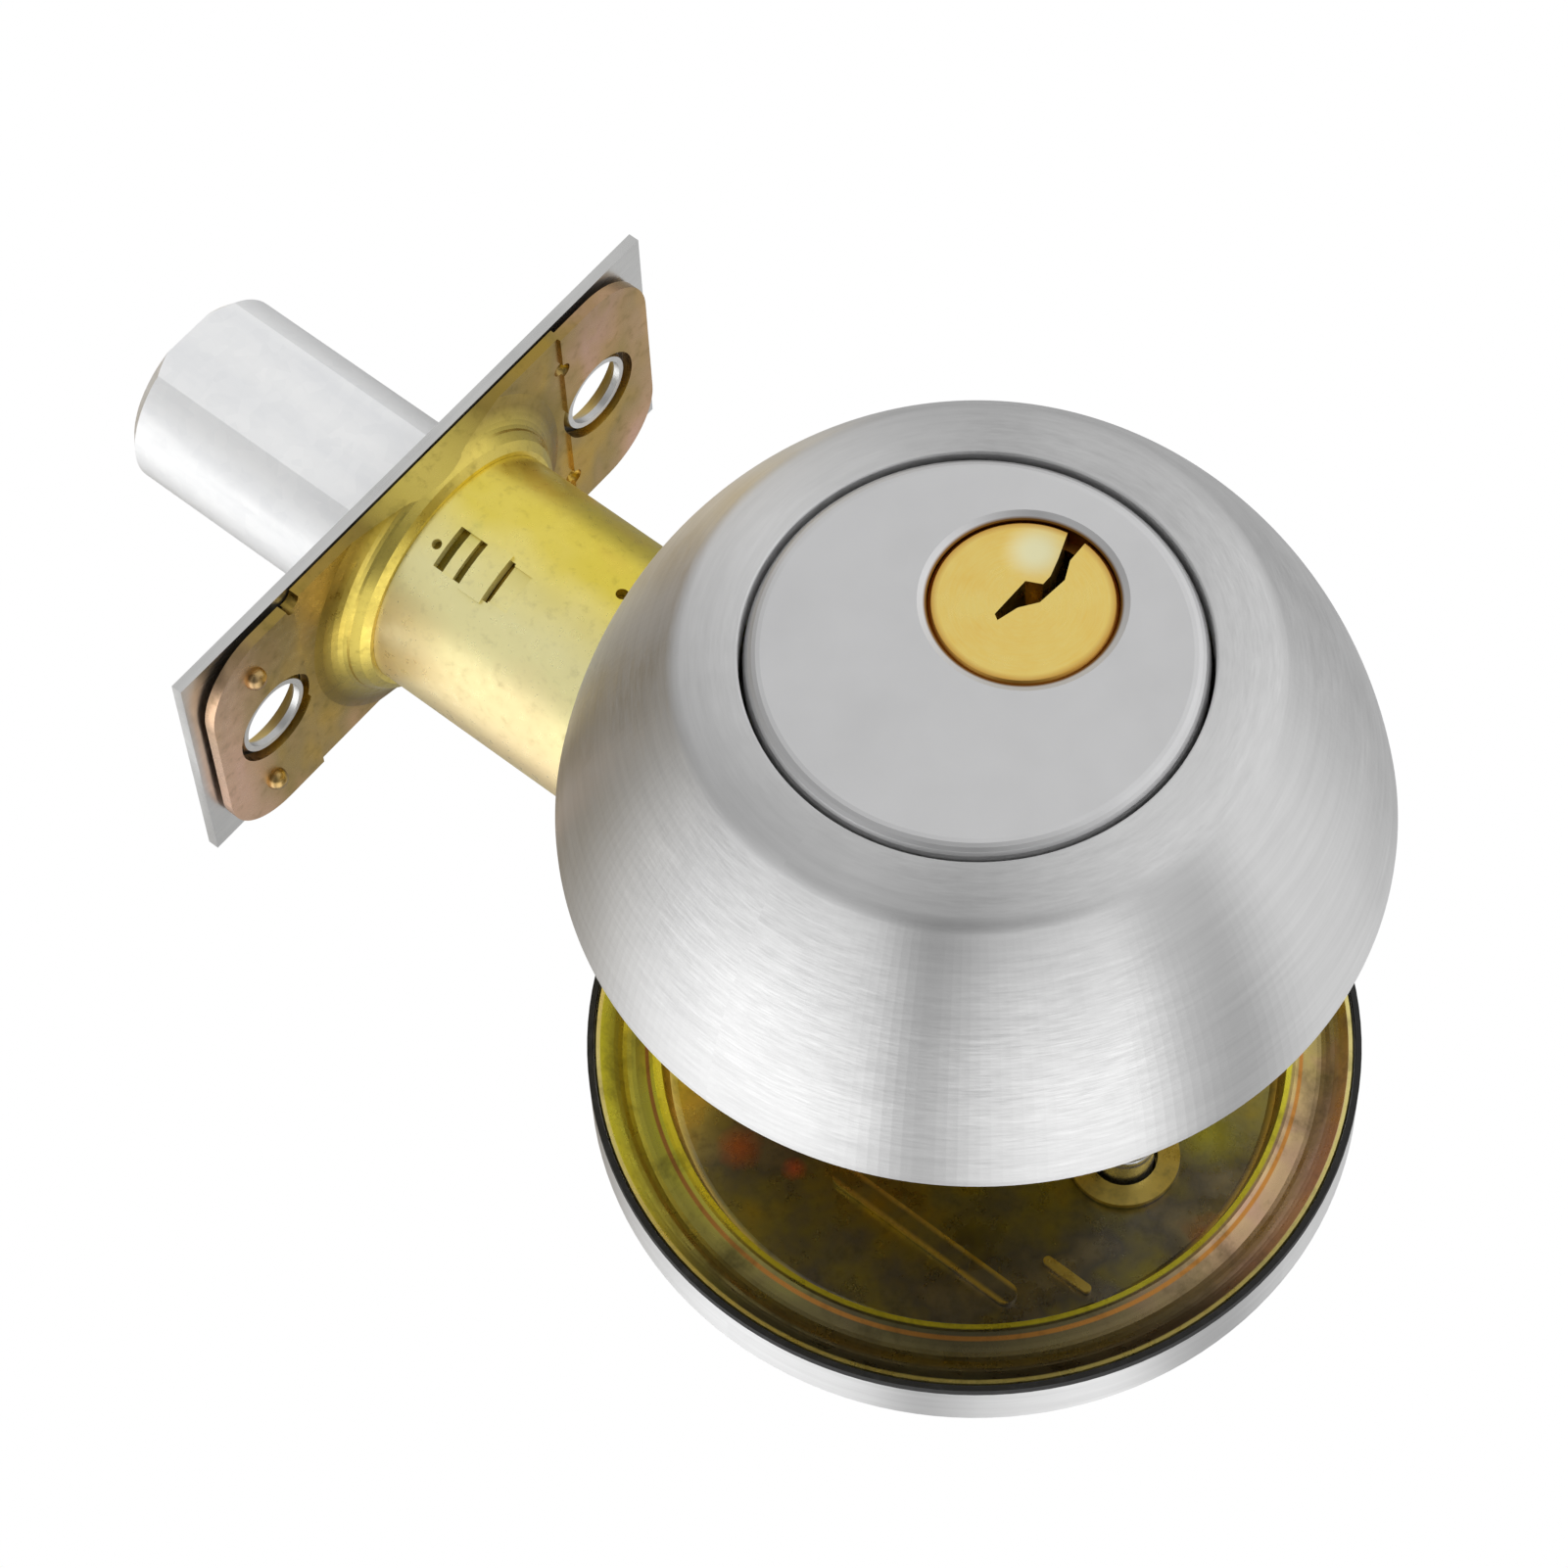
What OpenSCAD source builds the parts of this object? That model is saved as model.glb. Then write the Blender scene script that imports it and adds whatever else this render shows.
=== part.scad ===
// Tubular deadbolt for a door: keyed cylinder outside, thumbturn inside, bolt in the door's edge.
// Lock frame used by the modules: x right, y up, z out of the door on the keyed side, origin
// where the axis of the big bore meets the axis of the bolt, half way through the door.

/* [Door] */
// Thickness of the door that the lock is set for
door_t = 38; // [30:0.5:48]
// Distance from the door's edge to the centre of the big bore
backset = 60; // [56:0.1:74]

/* [Collar] */
// Radius of the collar at the door
collar_rim_r = 32.7; // [30:0.1:40]
// Radius of the collar's flat face, to the outside of its rounded edge
collar_face_r = 23.2; // [20:0.1:27]
// How far the collar stands off the door
collar_depth = 23.2; // [20:0.1:30]
// How far the collar's side bows out from a straight cone
collar_bow = 1.5; // [0.5:0.1:2.5]
// Thickness of the collar's metal
collar_wall = 1.2; // [0.8:0.1:1.6]

/* [Cylinder] */
// Radius of the round face that holds the key plug
disc_r = 17.4; // [16:0.1:18.5]
// Thickness of that face at its edge
disc_t = 2.6; // [2:0.1:4]
// How far that face stands proud of the collar
disc_proud = 0.4; // [0:0.1:1.5]
// Radius of the cylinder's body behind its face
body_r = 14.8; // [14:0.1:15.4]
// Radius of the key plug
plug_r = 6.4; // [5.5:0.1:7]
// Height of the key plug above the middle of the face
plug_offset = 5.6; // [4.7:0.1:6]
// Radius of the pins
pin_r = 1.3; // [1:0.05:1.4]
// Distance from one pin to the next
pin_pitch = 3.5; // [3.2:0.1:3.6]

/* [Latch] */
// Length of the plates in the door's edge
plate_len = 57.15; // [54:0.05:70]
// Width of the plates in the door's edge
plate_w = 25.4; // [24.6:0.1:32]
// Thickness of the outer plate
faceplate_t = 1; // [0.8:0.1:2]
// Thickness of the inner plate
backplate_t = 1; // [0.8:0.1:1.6]
// Distance between the two screw holes in the plates
plate_screw_gap = 41.3; // [40:0.1:50]
// Radius of the screw holes
plate_hole_r = 3.1; // [2.2:0.05:3.4]
// Outer radius of the tube that goes into the door's edge
tube_r = 11.1; // [10.8:0.1:11.6]
// Radius of the bolt's rounded sides
bolt_r = 9; // [7.5:0.1:9.2]
// Distance across the bolt's two flats
bolt_across = 15.2; // [11:0.1:16]
// How far the bolt is thrown
bolt_throw = 25.4; // [19:0.1:31]

/* [Inside] */
// Radius of the rose on the thumbturn side
rose_r = 32.5; // [30:0.1:40]
// How far that rose stands off the door
rose_depth = 10.5; // [8:0.1:14]
// Thickness of the rose's metal
rose_wall = 0.8; // [0.6:0.1:1.2]
// Length of the thumbturn's grip
grip_len = 32; // [24:0.5:40]
// Thickness of the thumbturn's grip
grip_t = 8; // [6:0.1:10]

/* [Screws] */
// Distance of each long screw from the middle of the bore
screw_x = 16; // [15.5:0.1:17.5]
// Radius of the long screws
screw_r = 2.5; // [2:0.1:2.7]

/* [Hidden] */
$fn = 96;
// Clearances
run_gap = 0.06;
slip_gap = 0.2;
wide_gap = 0.35;
weld_gap = 0.02;
seat_gap = 0.05;
eps = 0.5;
through = 100;

// Door
front_z = door_t / 2;
back_z = -door_t / 2;

// Collar
collar_z0 = front_z + slip_gap;
collar_z1 = collar_z0 + collar_depth;
rim_band = 0.8;
mouth_r = disc_r + 0.35;
mouth_round = 0.2;
// The collar's face falls away gently to crown_angle, then turns sharply down to side_angle
crown_angle = 75;
side_angle = 39;
turn_round = 2.2;
turn_width = turn_round * (cos(side_angle) - cos(crown_angle));
crown_r = (collar_face_r - turn_width - mouth_r - mouth_round) / cos(crown_angle);
crown_c = [mouth_r + mouth_round, collar_z1 - crown_r];
crown_end = crown_c + crown_r * [cos(crown_angle), sin(crown_angle)];
turn_c = crown_end - turn_round * [cos(crown_angle), sin(crown_angle)];
side_top = turn_c + turn_round * [cos(side_angle), sin(side_angle)];
side_low = [collar_rim_r, collar_z0 + rim_band];
// The side is one arc from side_top to side_low
side_chord = norm(side_top - side_low);
side_r = side_chord * side_chord / 8 / collar_bow + collar_bow / 2;
side_tilt = atan2(side_low[0] - side_top[0], side_top[1] - side_low[1]);
side_half = asin(side_chord / 2 / side_r);
side_c = (side_top + side_low) / 2 - (side_r - collar_bow) * [cos(side_tilt), sin(side_tilt)];
ledge_bore_r = body_r + run_gap;
// Cylinder
disc_z1 = collar_z1 + disc_proud;
disc_z0 = disc_z1 - disc_t;
disc_edge = 1.3;
ledge_z1 = disc_z0 - slip_gap;
ledge_z0 = ledge_z1 - collar_wall;
flange_t = 2;
support_t = 2.2;
flange_z0 = front_z + support_t;
flange_r = body_r + 7.7;
support_r = collar_rim_r - collar_wall - 0.35 * support_t - slip_gap;
support_in_r = flange_r - 2.3;
rise_r = flange_r + 1.4;
rise_len = 5;
spigot_r = 26.7;
spigot_wall = 2.4;
spigot_len = 3.5;
post_r = screw_r + 1.3;
post_z0 = 8.5;
plug_bore_r = plug_r + run_gap;
plug_face_r = plug_r + 0.8;
plug_face_t = 1.6;
plug_recess = 0.3;
plug_dish_r = plug_face_r + 0.8;
plug_dish_t = 0.35;
plug_z1 = disc_z1 - plug_recess;
stub_r = plug_r - 1.4;
clip_t = 0.8;
clip_groove = 0.7;
stub_len = 1.5;
plug_z0 = flange_z0 - stub_len;
pins = 5;
key_pin_lens = [4.0, 5.0, 4.4, 5.2, 4.6];
pin_gap = 0.07;
pin_hole_r = pin_r + pin_gap;
pin_travel = 1.2;
last_pin_z = flange_z0 + 2.5;
driver_len = 4.4;
shear_gap = 0.04;
// A flat-ended key pin stays this far inside the plug, so that its corners pass the bore
key_pin_gap = plug_r - sqrt(plug_r * plug_r - pin_r * pin_r) + shear_gap;
shear_y = plug_offset - plug_r;
cap_t = 1.2;
cap_w = 2 * pin_hole_r + 0.8;
cap_y0 = -body_r + 0.7;
pin_point = 0.9;
pin_tip_r = 0.4;
spring_wire_r = 0.2;
spring_gap = 0.15;
spring_turns = 6;
spring_steps = 10;
spring_sides = 6;
// Outline of the keyway, from the middle of the plug, on a plug of 7.2 radius
keyway_unit = plug_face_r / 7.2;
keyway_points = [[-1.6, 8], [-0.3, 4.6], [0.2, 3], [0.2, 2.1], [-1, 1.5], [-1, -2.2], [-0.5, -2.5],
    [0, -0.7], [1, 0.7], [1.25, 3.4], [0.5, 5], [0.4, 8]];

// Tailpiece and the slots that it turns
tail_w = 6.4;
tail_t = 2;
tail_z1 = plug_z0 + 5;
tail_in_turn = 7;

// Latch, measured from the middle of the bore towards the door's edge
face_s = backset;
plate_gap = 0.15;
joggle = 0.35;
joggle_y = 17;
faceplate_s0 = face_s - faceplate_t;
backplate_s1 = faceplate_s0 - plate_gap;
backplate_s0 = backplate_s1 - backplate_t;
backplate_w = plate_w - 0.4;
backplate_len = plate_len - 2.6;
corner_r = 6.35;
dimple_len = 1.1;
sink_r = plate_hole_r + 1.5;
dimple_base_r = plate_hole_r + 1;
dimple_top_r = plate_hole_r + 0.5;
back_hole_r = dimple_base_r + wide_gap - plate_gap;
neck_len = 2.7;
neck_foot_r = tube_r + 4.4;
neck_mid_r = tube_r + 1.7;
neck_top_r = tube_r + 0.45;
// The neck stays a whole ring where the tube is wider than the plate
neck_half_w = max(backplate_w / 2, neck_mid_r - 0.5);
tube_wall = 0.8;
sleeve_wall = tube_r - tube_wall - weld_gap - bolt_r - wide_gap;
sleeve_out_r = bolt_r + wide_gap + sleeve_wall;
screw_hole_r = screw_r + wide_gap + slip_gap;
tail_s1 = screw_x + screw_hole_r + 2.2;
cap_s = 2.2;
tube_s0 = tail_s1 + cap_s;
bolt_s0_in = tube_s0 + eps;
bolt_s0 = bolt_s0_in + bolt_throw;
bolt_s1 = face_s + bolt_throw;
bolt_chamfer = 1;
insert_r = 2.6;
insert_len = bolt_s1 - bolt_s0 - 8;

// Window, strap and tab that lock the tube, and the small holes beside them
window_angle = -19;
window_w = 4;
window_s0 = backplate_s0 - 11.2;
window_s1 = window_s0 + 5.9;
strap_s0 = window_s0 + 0.5;
strap_s1 = strap_s0 + 2.4;
strap_rise = 0.35;
tongue_s0 = strap_s1 + 1;
tongue_s1 = tongue_s0 + 1.1;
tongue_sink = 0.3;
tab_len = 1.9;
tab_sink = 0.35;
pip_r = 0.55;

// Crank: the pin swings half of crank_swing to each side and drives the bar in a slot
crank_swing = 90;
crank_r = bolt_throw / 2 / sin(crank_swing / 2);
crank_pin_r = 2.2;
pin_x = -bolt_throw / 2;
pin_y = plug_offset - crank_r * cos(crank_swing / 2);
pin_low_y = plug_offset - crank_r;
half_swing_rad = crank_swing / 2 * PI / 180;
swing_slope = sin(crank_swing / 2) / half_swing_rad;
worst_angle = acos(swing_slope);
slot_play = crank_r * (sin(worst_angle) - swing_slope * worst_angle * PI / 180);
slot_half_w = crank_pin_r + slot_play + 0.15;
hub_r = 5;
trunnion_r = 4.2;
arm_t = 2.4;
arm_r = 4;
bar_t = 3.2;
arm_z0 = bar_t / 2 + 0.3;
arm_z1 = arm_z0 + arm_t;
side_z0 = arm_z1 + 0.3;
side_t = 1.2;
side_z1 = side_z0 + side_t;
bar_wall = 1.3;
bar_top_y = min(pin_y + crank_pin_r + slip_gap + bar_wall, -screw_r - 0.6);
bar_h = 5;
head_low_y = pin_low_y - crank_pin_r - slip_gap - 2.4;
head_half_w = slot_half_w + 2.2;
bar_in_bolt = 7;
bar_pin_r = 1.5;
side_x1 = trunnion_r + 8;
side_low_y = -9.5;
side_top_y = plug_offset + 7.4;
spacer_r = 1.5;
spacer_spots = [[-tail_s1 + 3, side_top_y - 3], [-8.5, side_top_y - 1.9], [8.5, side_top_y - 1.9]];
leaf_t = 0.5;

// Inside rose, with z running away from the door as it falls
gasket_w = 0.5;
gasket_t = 0.8;
shell_z0 = back_z - rose_depth;
shell_band = 4.6;
shell_face_r = rose_r - 7.5;
flat_t = 1.2;
mount_r = rose_r - gasket_w - slip_gap / 2;
mount_body_r = rose_r - rose_wall - slip_gap / 2;
mount_lip_z0 = back_z - gasket_t + slip_gap / 2;
mount_z1 = back_z - slip_gap;
mount_step = 3;
ridge_r = mount_body_r - 4.9;
ridge_w = 0.7;
ridge_drop = 0.3;
channel_drop = 1.1;
lip_w = 0.5;
mount_floor_r = ridge_r - 1.3;
mount_floor_z1 = mount_z1 - mount_step;
mount_floor_z0 = mount_floor_z1 - flat_t;
spindle_r = 6.5;
bush_wall = 1.4;
bush_hole_r = spindle_r + run_gap + bush_wall + seat_gap;
bush_flange_t = 0.8;
bush_flange_r = bush_hole_r + 1.6;
turn_z1 = mount_floor_z1 - 0.5;
washer_t = 0.5;
washer_z1 = shell_z0 + rose_wall + 0.1 + washer_t;
turn_clip_z0 = washer_z1 + 0.1;
turn_clip_t = 0.9;
turn_clip_z1 = turn_clip_z0 + turn_clip_t;
turn_collar_r = bush_flange_r + 0.6;
turn_collar_z1 = shell_z0 - bush_flange_t - slip_gap;
turn_collar_t = 2.4;
turn_collar_z0 = turn_collar_z1 - turn_collar_t;
grip_h = 14;
grip_z0 = turn_collar_z0 - grip_h;
screw_head_r = 4.4;
screw_head_h = 2.4;
screw_z1 = front_z - 1;
spacer_tube_r = screw_r + 1.2;
cross_w = 1.1;
cross_len = 5;

// The lock frame as it stands in the door
module in_door() {
    rotate([90, 0, 0]) children();
}

// Local z runs from the middle of the bore to the door's edge, x to the keyed side, y up
module on_bolt_axis() {
    rotate([0, -90, 0]) children();
}

module rod(r, z0, z1) {
    translate([0, 0, z0]) cylinder(r = r, h = z1 - z0);
}

module ring(r_out, r_in, z0, z1) {
    difference() {
        rod(r_out, z0, z1);
        rod(r_in, z0 - eps, z1 + eps);
    }
}

module block(x0, x1, y0, y1, z0, z1) {
    translate([x0, y0, z0]) cube([x1 - x0, y1 - y0, z1 - z0]);
}

// Quarter circle of points about a centre, from one angle to another
function arc(cx, cy, r, a0, a1, n = 6) =
    [for (i = [0:n]) [cx + r * cos(a0 + (a1 - a0) * i / n), cy + r * sin(a0 + (a1 - a0) * i / n)]];

module collar() {
    r_in = mouth_r + collar_wall;
    outside = concat(
        [[collar_rim_r, collar_z0]],
        arc(side_c[0], side_c[1], side_r, side_tilt - side_half, side_tilt + side_half, 12),
        arc(turn_c[0], turn_c[1], turn_round, side_angle + 4.5, crown_angle, 7),
        arc(crown_c[0], crown_c[1], crown_r, crown_angle + 2.5, 90, 5),
        arc(mouth_r + mouth_round, collar_z1 - mouth_round, mouth_round, 105, 180, 4));
    under = arc(side_c[0], side_c[1], side_r - collar_wall, side_tilt + side_half,
        side_tilt - side_half, 12);
    inside = concat([[mouth_r, ledge_z1], [ledge_bore_r, ledge_z1], [ledge_bore_r, ledge_z0],
        [r_in, ledge_z0], [r_in, under[0][1]]], under, [[under[12][0], collar_z0]]);
    color("gainsboro") rotate_extrude() polygon(concat(outside, inside));
}

// Where pin number i stands along the plug
function pin_z(i) = last_pin_z + (pins - 1 - i) * pin_pitch;

module keyway(z0, z1) {
    translate([0, plug_offset, z0])
        linear_extrude(height = z1 - z0)
            scale([keyway_unit, keyway_unit])
                polygon(keyway_points);
}

module cylinder_housing() {
    dish_z = disc_z1 - plug_dish_t;
    color("silver") difference() {
        union() {
            rotate_extrude()
                polygon(concat([[0, disc_z0], [disc_r, disc_z0]],
                    arc(disc_r - disc_edge, disc_z1 - disc_edge, disc_edge, 0, 90),
                    [[0, disc_z1]]));
            rod(body_r, flange_z0, disc_z0 + eps);
            rod(flange_r, flange_z0, flange_z0 + flange_t);
            for (side = [-1, 1])
                translate([side * screw_x, 0, 0])
                    rod(post_r, post_z0, flange_z0 + eps);
        }
        translate([0, plug_offset, 0]) {
            rod(plug_bore_r, flange_z0 - eps, disc_z1 + eps);
            rod(plug_face_r + run_gap, plug_z1 - plug_face_t - run_gap, disc_z1 + eps);
            translate([0, 0, dish_z])
                cylinder(r1 = plug_face_r + run_gap, r2 = plug_dish_r, h = plug_dish_t + weld_gap);
        }
        for (side = [-1, 1])
            translate([side * screw_x, 0, 0])
                rod(screw_r + weld_gap, post_z0 - eps, flange_z0 + flange_t - 0.8);
        for (i = [0:pins - 1])
            translate([0, shear_y + plug_r / 2, pin_z(i)])
                rotate([90, 0, 0])
                    rod(pin_hole_r, 0, through);
        block(-cap_w / 2, cap_w / 2, -body_r - eps, cap_y0 + cap_t, pin_z(pins - 1) - pin_r - 0.5,
            pin_z(0) + pin_r + 0.5);
    }
}

module chamber_cap() {
    color("goldenrod")
        block(-cap_w / 2 + weld_gap, cap_w / 2 - weld_gap, cap_y0, cap_y0 + cap_t - weld_gap,
            pin_z(pins - 1) - pin_r - 0.5 + weld_gap, pin_z(0) + pin_r + 0.5 - weld_gap);
}

// Ring behind the collar: it carries the cylinder, fills the collar's rim and drops into the bore
module collar_support() {
    color("khaki") {
        ring(support_r, support_in_r, front_z, front_z + support_t);
        ring(rise_r, rise_r - collar_wall, front_z + support_t - weld_gap, front_z + support_t + rise_len);
        ring(spigot_r, spigot_r - spigot_wall, front_z - spigot_len, front_z + weld_gap);
    }
}

module key_plug() {
    pin_hole_top = -plug_r + max(key_pin_lens) + pin_travel + 0.3;
    color("gold") difference() {
        translate([0, plug_offset, 0]) {
            rod(plug_face_r, plug_z1 - plug_face_t, plug_z1 - 0.3);
            translate([0, 0, plug_z1 - 0.3])
                cylinder(r1 = plug_face_r, r2 = plug_face_r - 0.3, h = 0.3);
            rod(plug_r, flange_z0, plug_z1 - plug_face_t);
            difference() {
                rod(stub_r, plug_z0, flange_z0);
                ring(stub_r + eps, stub_r - clip_groove, plug_z0 + 0.35, plug_z0 + 0.35 + clip_t + 0.1);
            }
        }
        keyway(last_pin_z - pin_r - 0.8, plug_z1 + eps);
        for (i = [0:pins - 1])
            translate([0, plug_offset + pin_hole_top, pin_z(i)])
                rotate([90, 0, 0])
                    rod(pin_hole_r, 0, plug_r + pin_hole_top + eps);
        tail_slot(plug_z0 - eps, flange_z0 - 0.3, weld_gap);
    }
}

// Slot that the flat tailpiece fits
module tail_slot(z0, z1, gap) {
    translate([0, plug_offset, 0])
        block(-tail_t / 2 - gap, tail_t / 2 + gap, -tail_w / 2 - gap, tail_w / 2 + gap, z0, z1);
}

module plug_clip() {
    color("dimgray") translate([0, plug_offset, 0]) difference() {
        ring(stub_r + 1.6, stub_r - clip_groove + seat_gap, plug_z0 + 0.4, plug_z0 + 0.4 + clip_t);
        block(-2.2, 2.2, 0, stub_r + 3, plug_z0, flange_z0);
    }
}

module tailpiece() {
    color("lightslategray") translate([0, plug_offset, 0])
        block(-tail_t / 2, tail_t / 2, -tail_w / 2, tail_w / 2, turn_collar_z0 + 1, flange_z0 - 0.35);
}

// Key pins, held up at the shear line as the right key holds them
module key_pins() {
    color("goldenrod") for (i = [0:pins - 1])
        translate([0, shear_y + key_pin_gap, pin_z(i)]) rotate([-90, 0, 0]) {
            rod(pin_r, 0, key_pin_lens[i] - pin_point);
            translate([0, 0, key_pin_lens[i] - pin_point])
                cylinder(r1 = pin_r, r2 = pin_tip_r, h = pin_point);
        }
}

module driver_pins() {
    color("lightgray") for (i = [0:pins - 1])
        translate([0, shear_y - shear_gap, pin_z(i)]) rotate([90, 0, 0])
            rod(pin_r, 0, driver_len);
}

// Closed tube of small facets along a helix
module helix(r, pitch, turns, wire_r) {
    steps = turns * spring_steps;
    points = [for (i = [0:steps], j = [0:spring_sides - 1])
        let (a = 360 * i / spring_steps, b = 360 * j / spring_sides, q = r + wire_r * cos(b))
        [q * cos(a), q * sin(a), pitch * i / spring_steps + wire_r * sin(b)]];
    walls = [for (i = [0:steps - 1], j = [0:spring_sides - 1])
        let (k = (j + 1) % spring_sides, m = i * spring_sides, n = m + spring_sides)
        each [[m + j, n + j, n + k], [m + j, n + k, m + k]]];
    ends = [[for (j = [0:spring_sides - 1]) j],
        [for (j = [spring_sides - 1:-1:0]) steps * spring_sides + j]];
    polyhedron(points = points, faces = concat(walls, ends), convexity = 8);
}

module pin_springs() {
    top_y = shear_y - shear_gap - driver_len - spring_wire_r - seat_gap;
    low_y = cap_y0 + cap_t + spring_wire_r + seat_gap;
    color("silver") for (i = [0:pins - 1])
        translate([0, low_y, pin_z(i)]) rotate([-90, 0, 0])
            helix(pin_r - spring_wire_r - spring_gap, (top_y - low_y) / spring_turns, spring_turns,
                spring_wire_r);
}

// The bolt's outline, grown by a gap
module bolt_outline(gap = 0) {
    intersection() {
        circle(r = bolt_r + gap);
        square([bolt_across + 2 * gap, 3 * bolt_r], center = true);
    }
}

module rounded_plate(w, l, r) {
    square([w - 2 * r, l], center = true);
    square([w, l - 2 * r], center = true);
    for (a = [-1, 1], b = [-1, 1])
        translate([a * (w / 2 - r), b * (l / 2 - r)]) circle(r = r);
}

module faceplate() {
    color("silver") on_bolt_axis() difference() {
        union() {
            translate([0, 0, faceplate_s0])
                linear_extrude(height = faceplate_t) square([plate_w, plate_len], center = true);
            for (side = [-1, 1])
                translate([0, side * plate_screw_gap / 2, faceplate_s0 - dimple_len])
                    cylinder(r1 = dimple_top_r, r2 = dimple_base_r, h = dimple_len);
        }
        translate([0, 0, faceplate_s0 - eps])
            linear_extrude(height = faceplate_t + 2 * eps) bolt_outline(wide_gap);
        for (side = [-1, 1]) translate([0, side * plate_screw_gap / 2, 0]) {
            rod(plate_hole_r, faceplate_s0 - dimple_len - eps, face_s + eps);
            translate([0, 0, face_s - sink_r + plate_hole_r])
                cylinder(r1 = plate_hole_r, r2 = sink_r, h = sink_r - plate_hole_r + weld_gap);
        }
    }
}

// Flare from the plate up to the tube: a shallow foot, a steeper throat and a rolled lip
function neck_profile() = concat(
    [[tube_r - 1, backplate_s0 + 0.3], [neck_foot_r, backplate_s0 + 0.3]],
    [for (i = [0:6]) let (u = i / 6, w = pow(1 - u, 2))
        [neck_mid_r + (neck_foot_r - neck_mid_r) * w, backplate_s0 - 1.5 * u]],
    [[neck_mid_r - 0.5, backplate_s0 - neck_len + 0.5], [neck_top_r, backplate_s0 - neck_len],
        [tube_r - 1, backplate_s0 - neck_len]]);

module backplate() {
    pip_y = plate_screw_gap / 2 + 1.4;
    dent_y = plate_screw_gap / 2 - 4;
    pip_x = back_hole_r + 3.8;
    color("khaki") on_bolt_axis() difference() {
        union() {
            translate([0, 0, backplate_s0]) linear_extrude(height = backplate_t)
                intersection() {
                    rounded_plate(backplate_w, backplate_len, corner_r);
                    square([2 * backplate_w, 2 * joggle_y], center = true);
                }
            translate([0, 0, backplate_s0 - joggle]) linear_extrude(height = backplate_t)
                difference() {
                    rounded_plate(backplate_w, backplate_len, corner_r);
                    square([2 * backplate_w, 2 * joggle_y - 0.6], center = true);
                }
            intersection() {
                rotate_extrude() polygon(neck_profile());
                block(-neck_half_w, neck_half_w, -plate_len, plate_len, 0, through);
            }
            for (side = [-1, 1])
                translate([side * pip_x, -pip_y, backplate_s0 - joggle]) sphere(r = 1);
        }
        rod(tube_r + weld_gap, 0, through);
        for (side = [-1, 1]) {
            translate([0, side * plate_screw_gap / 2, 0]) rod(back_hole_r, 0, through);
            translate([side * pip_x, dent_y, backplate_s0 - joggle]) sphere(r = 0.8);
        }
        translate([backplate_w / 2, -dent_y, 0]) rod(0.9, 0, through);
    }
}

module latch_tube() {
    color("palegoldenrod") on_bolt_axis() difference() {
        ring(tube_r, tube_r - tube_wall, tube_s0, backplate_s1);
        rotate([0, 0, window_angle]) {
            block(tube_r - 3, tube_r + 3, -window_w / 2, window_w / 2, window_s0, window_s1);
            block(tube_r - tab_sink, tube_r + 3, -window_w / 2 + 0.2, window_w / 2 - 0.2,
                window_s0 - tab_len, window_s0 + eps);
            translate([0, -0.4, window_s1 + 0.8]) rotate([0, 90, 0]) rod(pip_r - 0.1, 0, tube_r + 1);
        }
        rotate([0, 0, 8]) translate([0, 0, window_s0 - 8.7]) rotate([0, 90, 0]) rod(pip_r, 0, tube_r + 1);
    }
    color("palegoldenrod") on_bolt_axis() rotate([0, 0, window_angle]) tube_strap();
}

// Strap that bridges the window, raised off the tube, with a foot at each side
module tube_strap() {
    intersection() {
        ring(tube_r + strap_rise, tube_r - tube_wall + 0.1, strap_s0, strap_s1);
        block(tube_r - 3, tube_r + 2, -window_w / 2 - 0.4, window_w / 2 + 0.4, strap_s0, strap_s1);
    }
    intersection() {
        ring(tube_r - tongue_sink, tube_r - tube_wall, tongue_s0, tongue_s1);
        block(tube_r - 3, tube_r + 2, -window_w / 2 - 0.2, window_w / 2 + 0.2, tongue_s0, tongue_s1);
    }
}

module inner_sleeve() {
    color("darkkhaki") on_bolt_axis() difference() {
        ring(sleeve_out_r, bolt_r + wide_gap, tube_s0 + 0.3, backplate_s1 - 0.6);
        translate([0, 0, tube_s0]) rotate([0, 0, 90]) block(0, through, -2, 2, 0, 8);
    }
}

module tube_cap() {
    color("khaki") on_bolt_axis() difference() {
        rod(tube_r - 0.2, tail_s1, tube_s0);
        block(-bar_t / 2 - slip_gap, bar_t / 2 + slip_gap, bar_top_y - bar_h - 0.3, bar_top_y + 0.3, 0,
            through);
    }
}

module tail_side(z0) {
    color("khaki") difference() {
        block(-tail_s1, side_x1, side_low_y, side_top_y, z0, z0 + side_t);
        translate([0, plug_offset, 0]) rod(trunnion_r + run_gap, z0 - eps, z0 + side_t + eps);
        translate([-screw_x, 0, 0]) rod(screw_hole_r, z0 - eps, z0 + side_t + eps);
        for (p = spacer_spots)
            translate([p[0], p[1], 0]) rod(spacer_r + weld_gap, z0 - eps, z0 + side_t + eps);
    }
}

module tail_spacers() {
    color("silver") for (p = spacer_spots) translate([p[0], p[1], 0]) {
        rod(spacer_r, -side_z1 - 0.4, side_z1 + 0.4);
        rod(spacer_r + 0.9, -side_z0 + weld_gap, side_z0 - weld_gap);
    }
}

module hub_spring() {
    leaf_y = plug_offset + hub_r + 0.3;
    color("lightslategray") translate([0, 0, -3])
        linear_extrude(height = 6)
            polygon([[-6.3, leaf_y + 1.4], [-2.5, leaf_y], [2.5, leaf_y], [6.3, leaf_y + 1.4],
                [6.3, leaf_y + 1.4 + leaf_t], [2.3, leaf_y + leaf_t], [-2.3, leaf_y + leaf_t],
                [-6.3, leaf_y + 1.4 + leaf_t]]);
}

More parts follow.
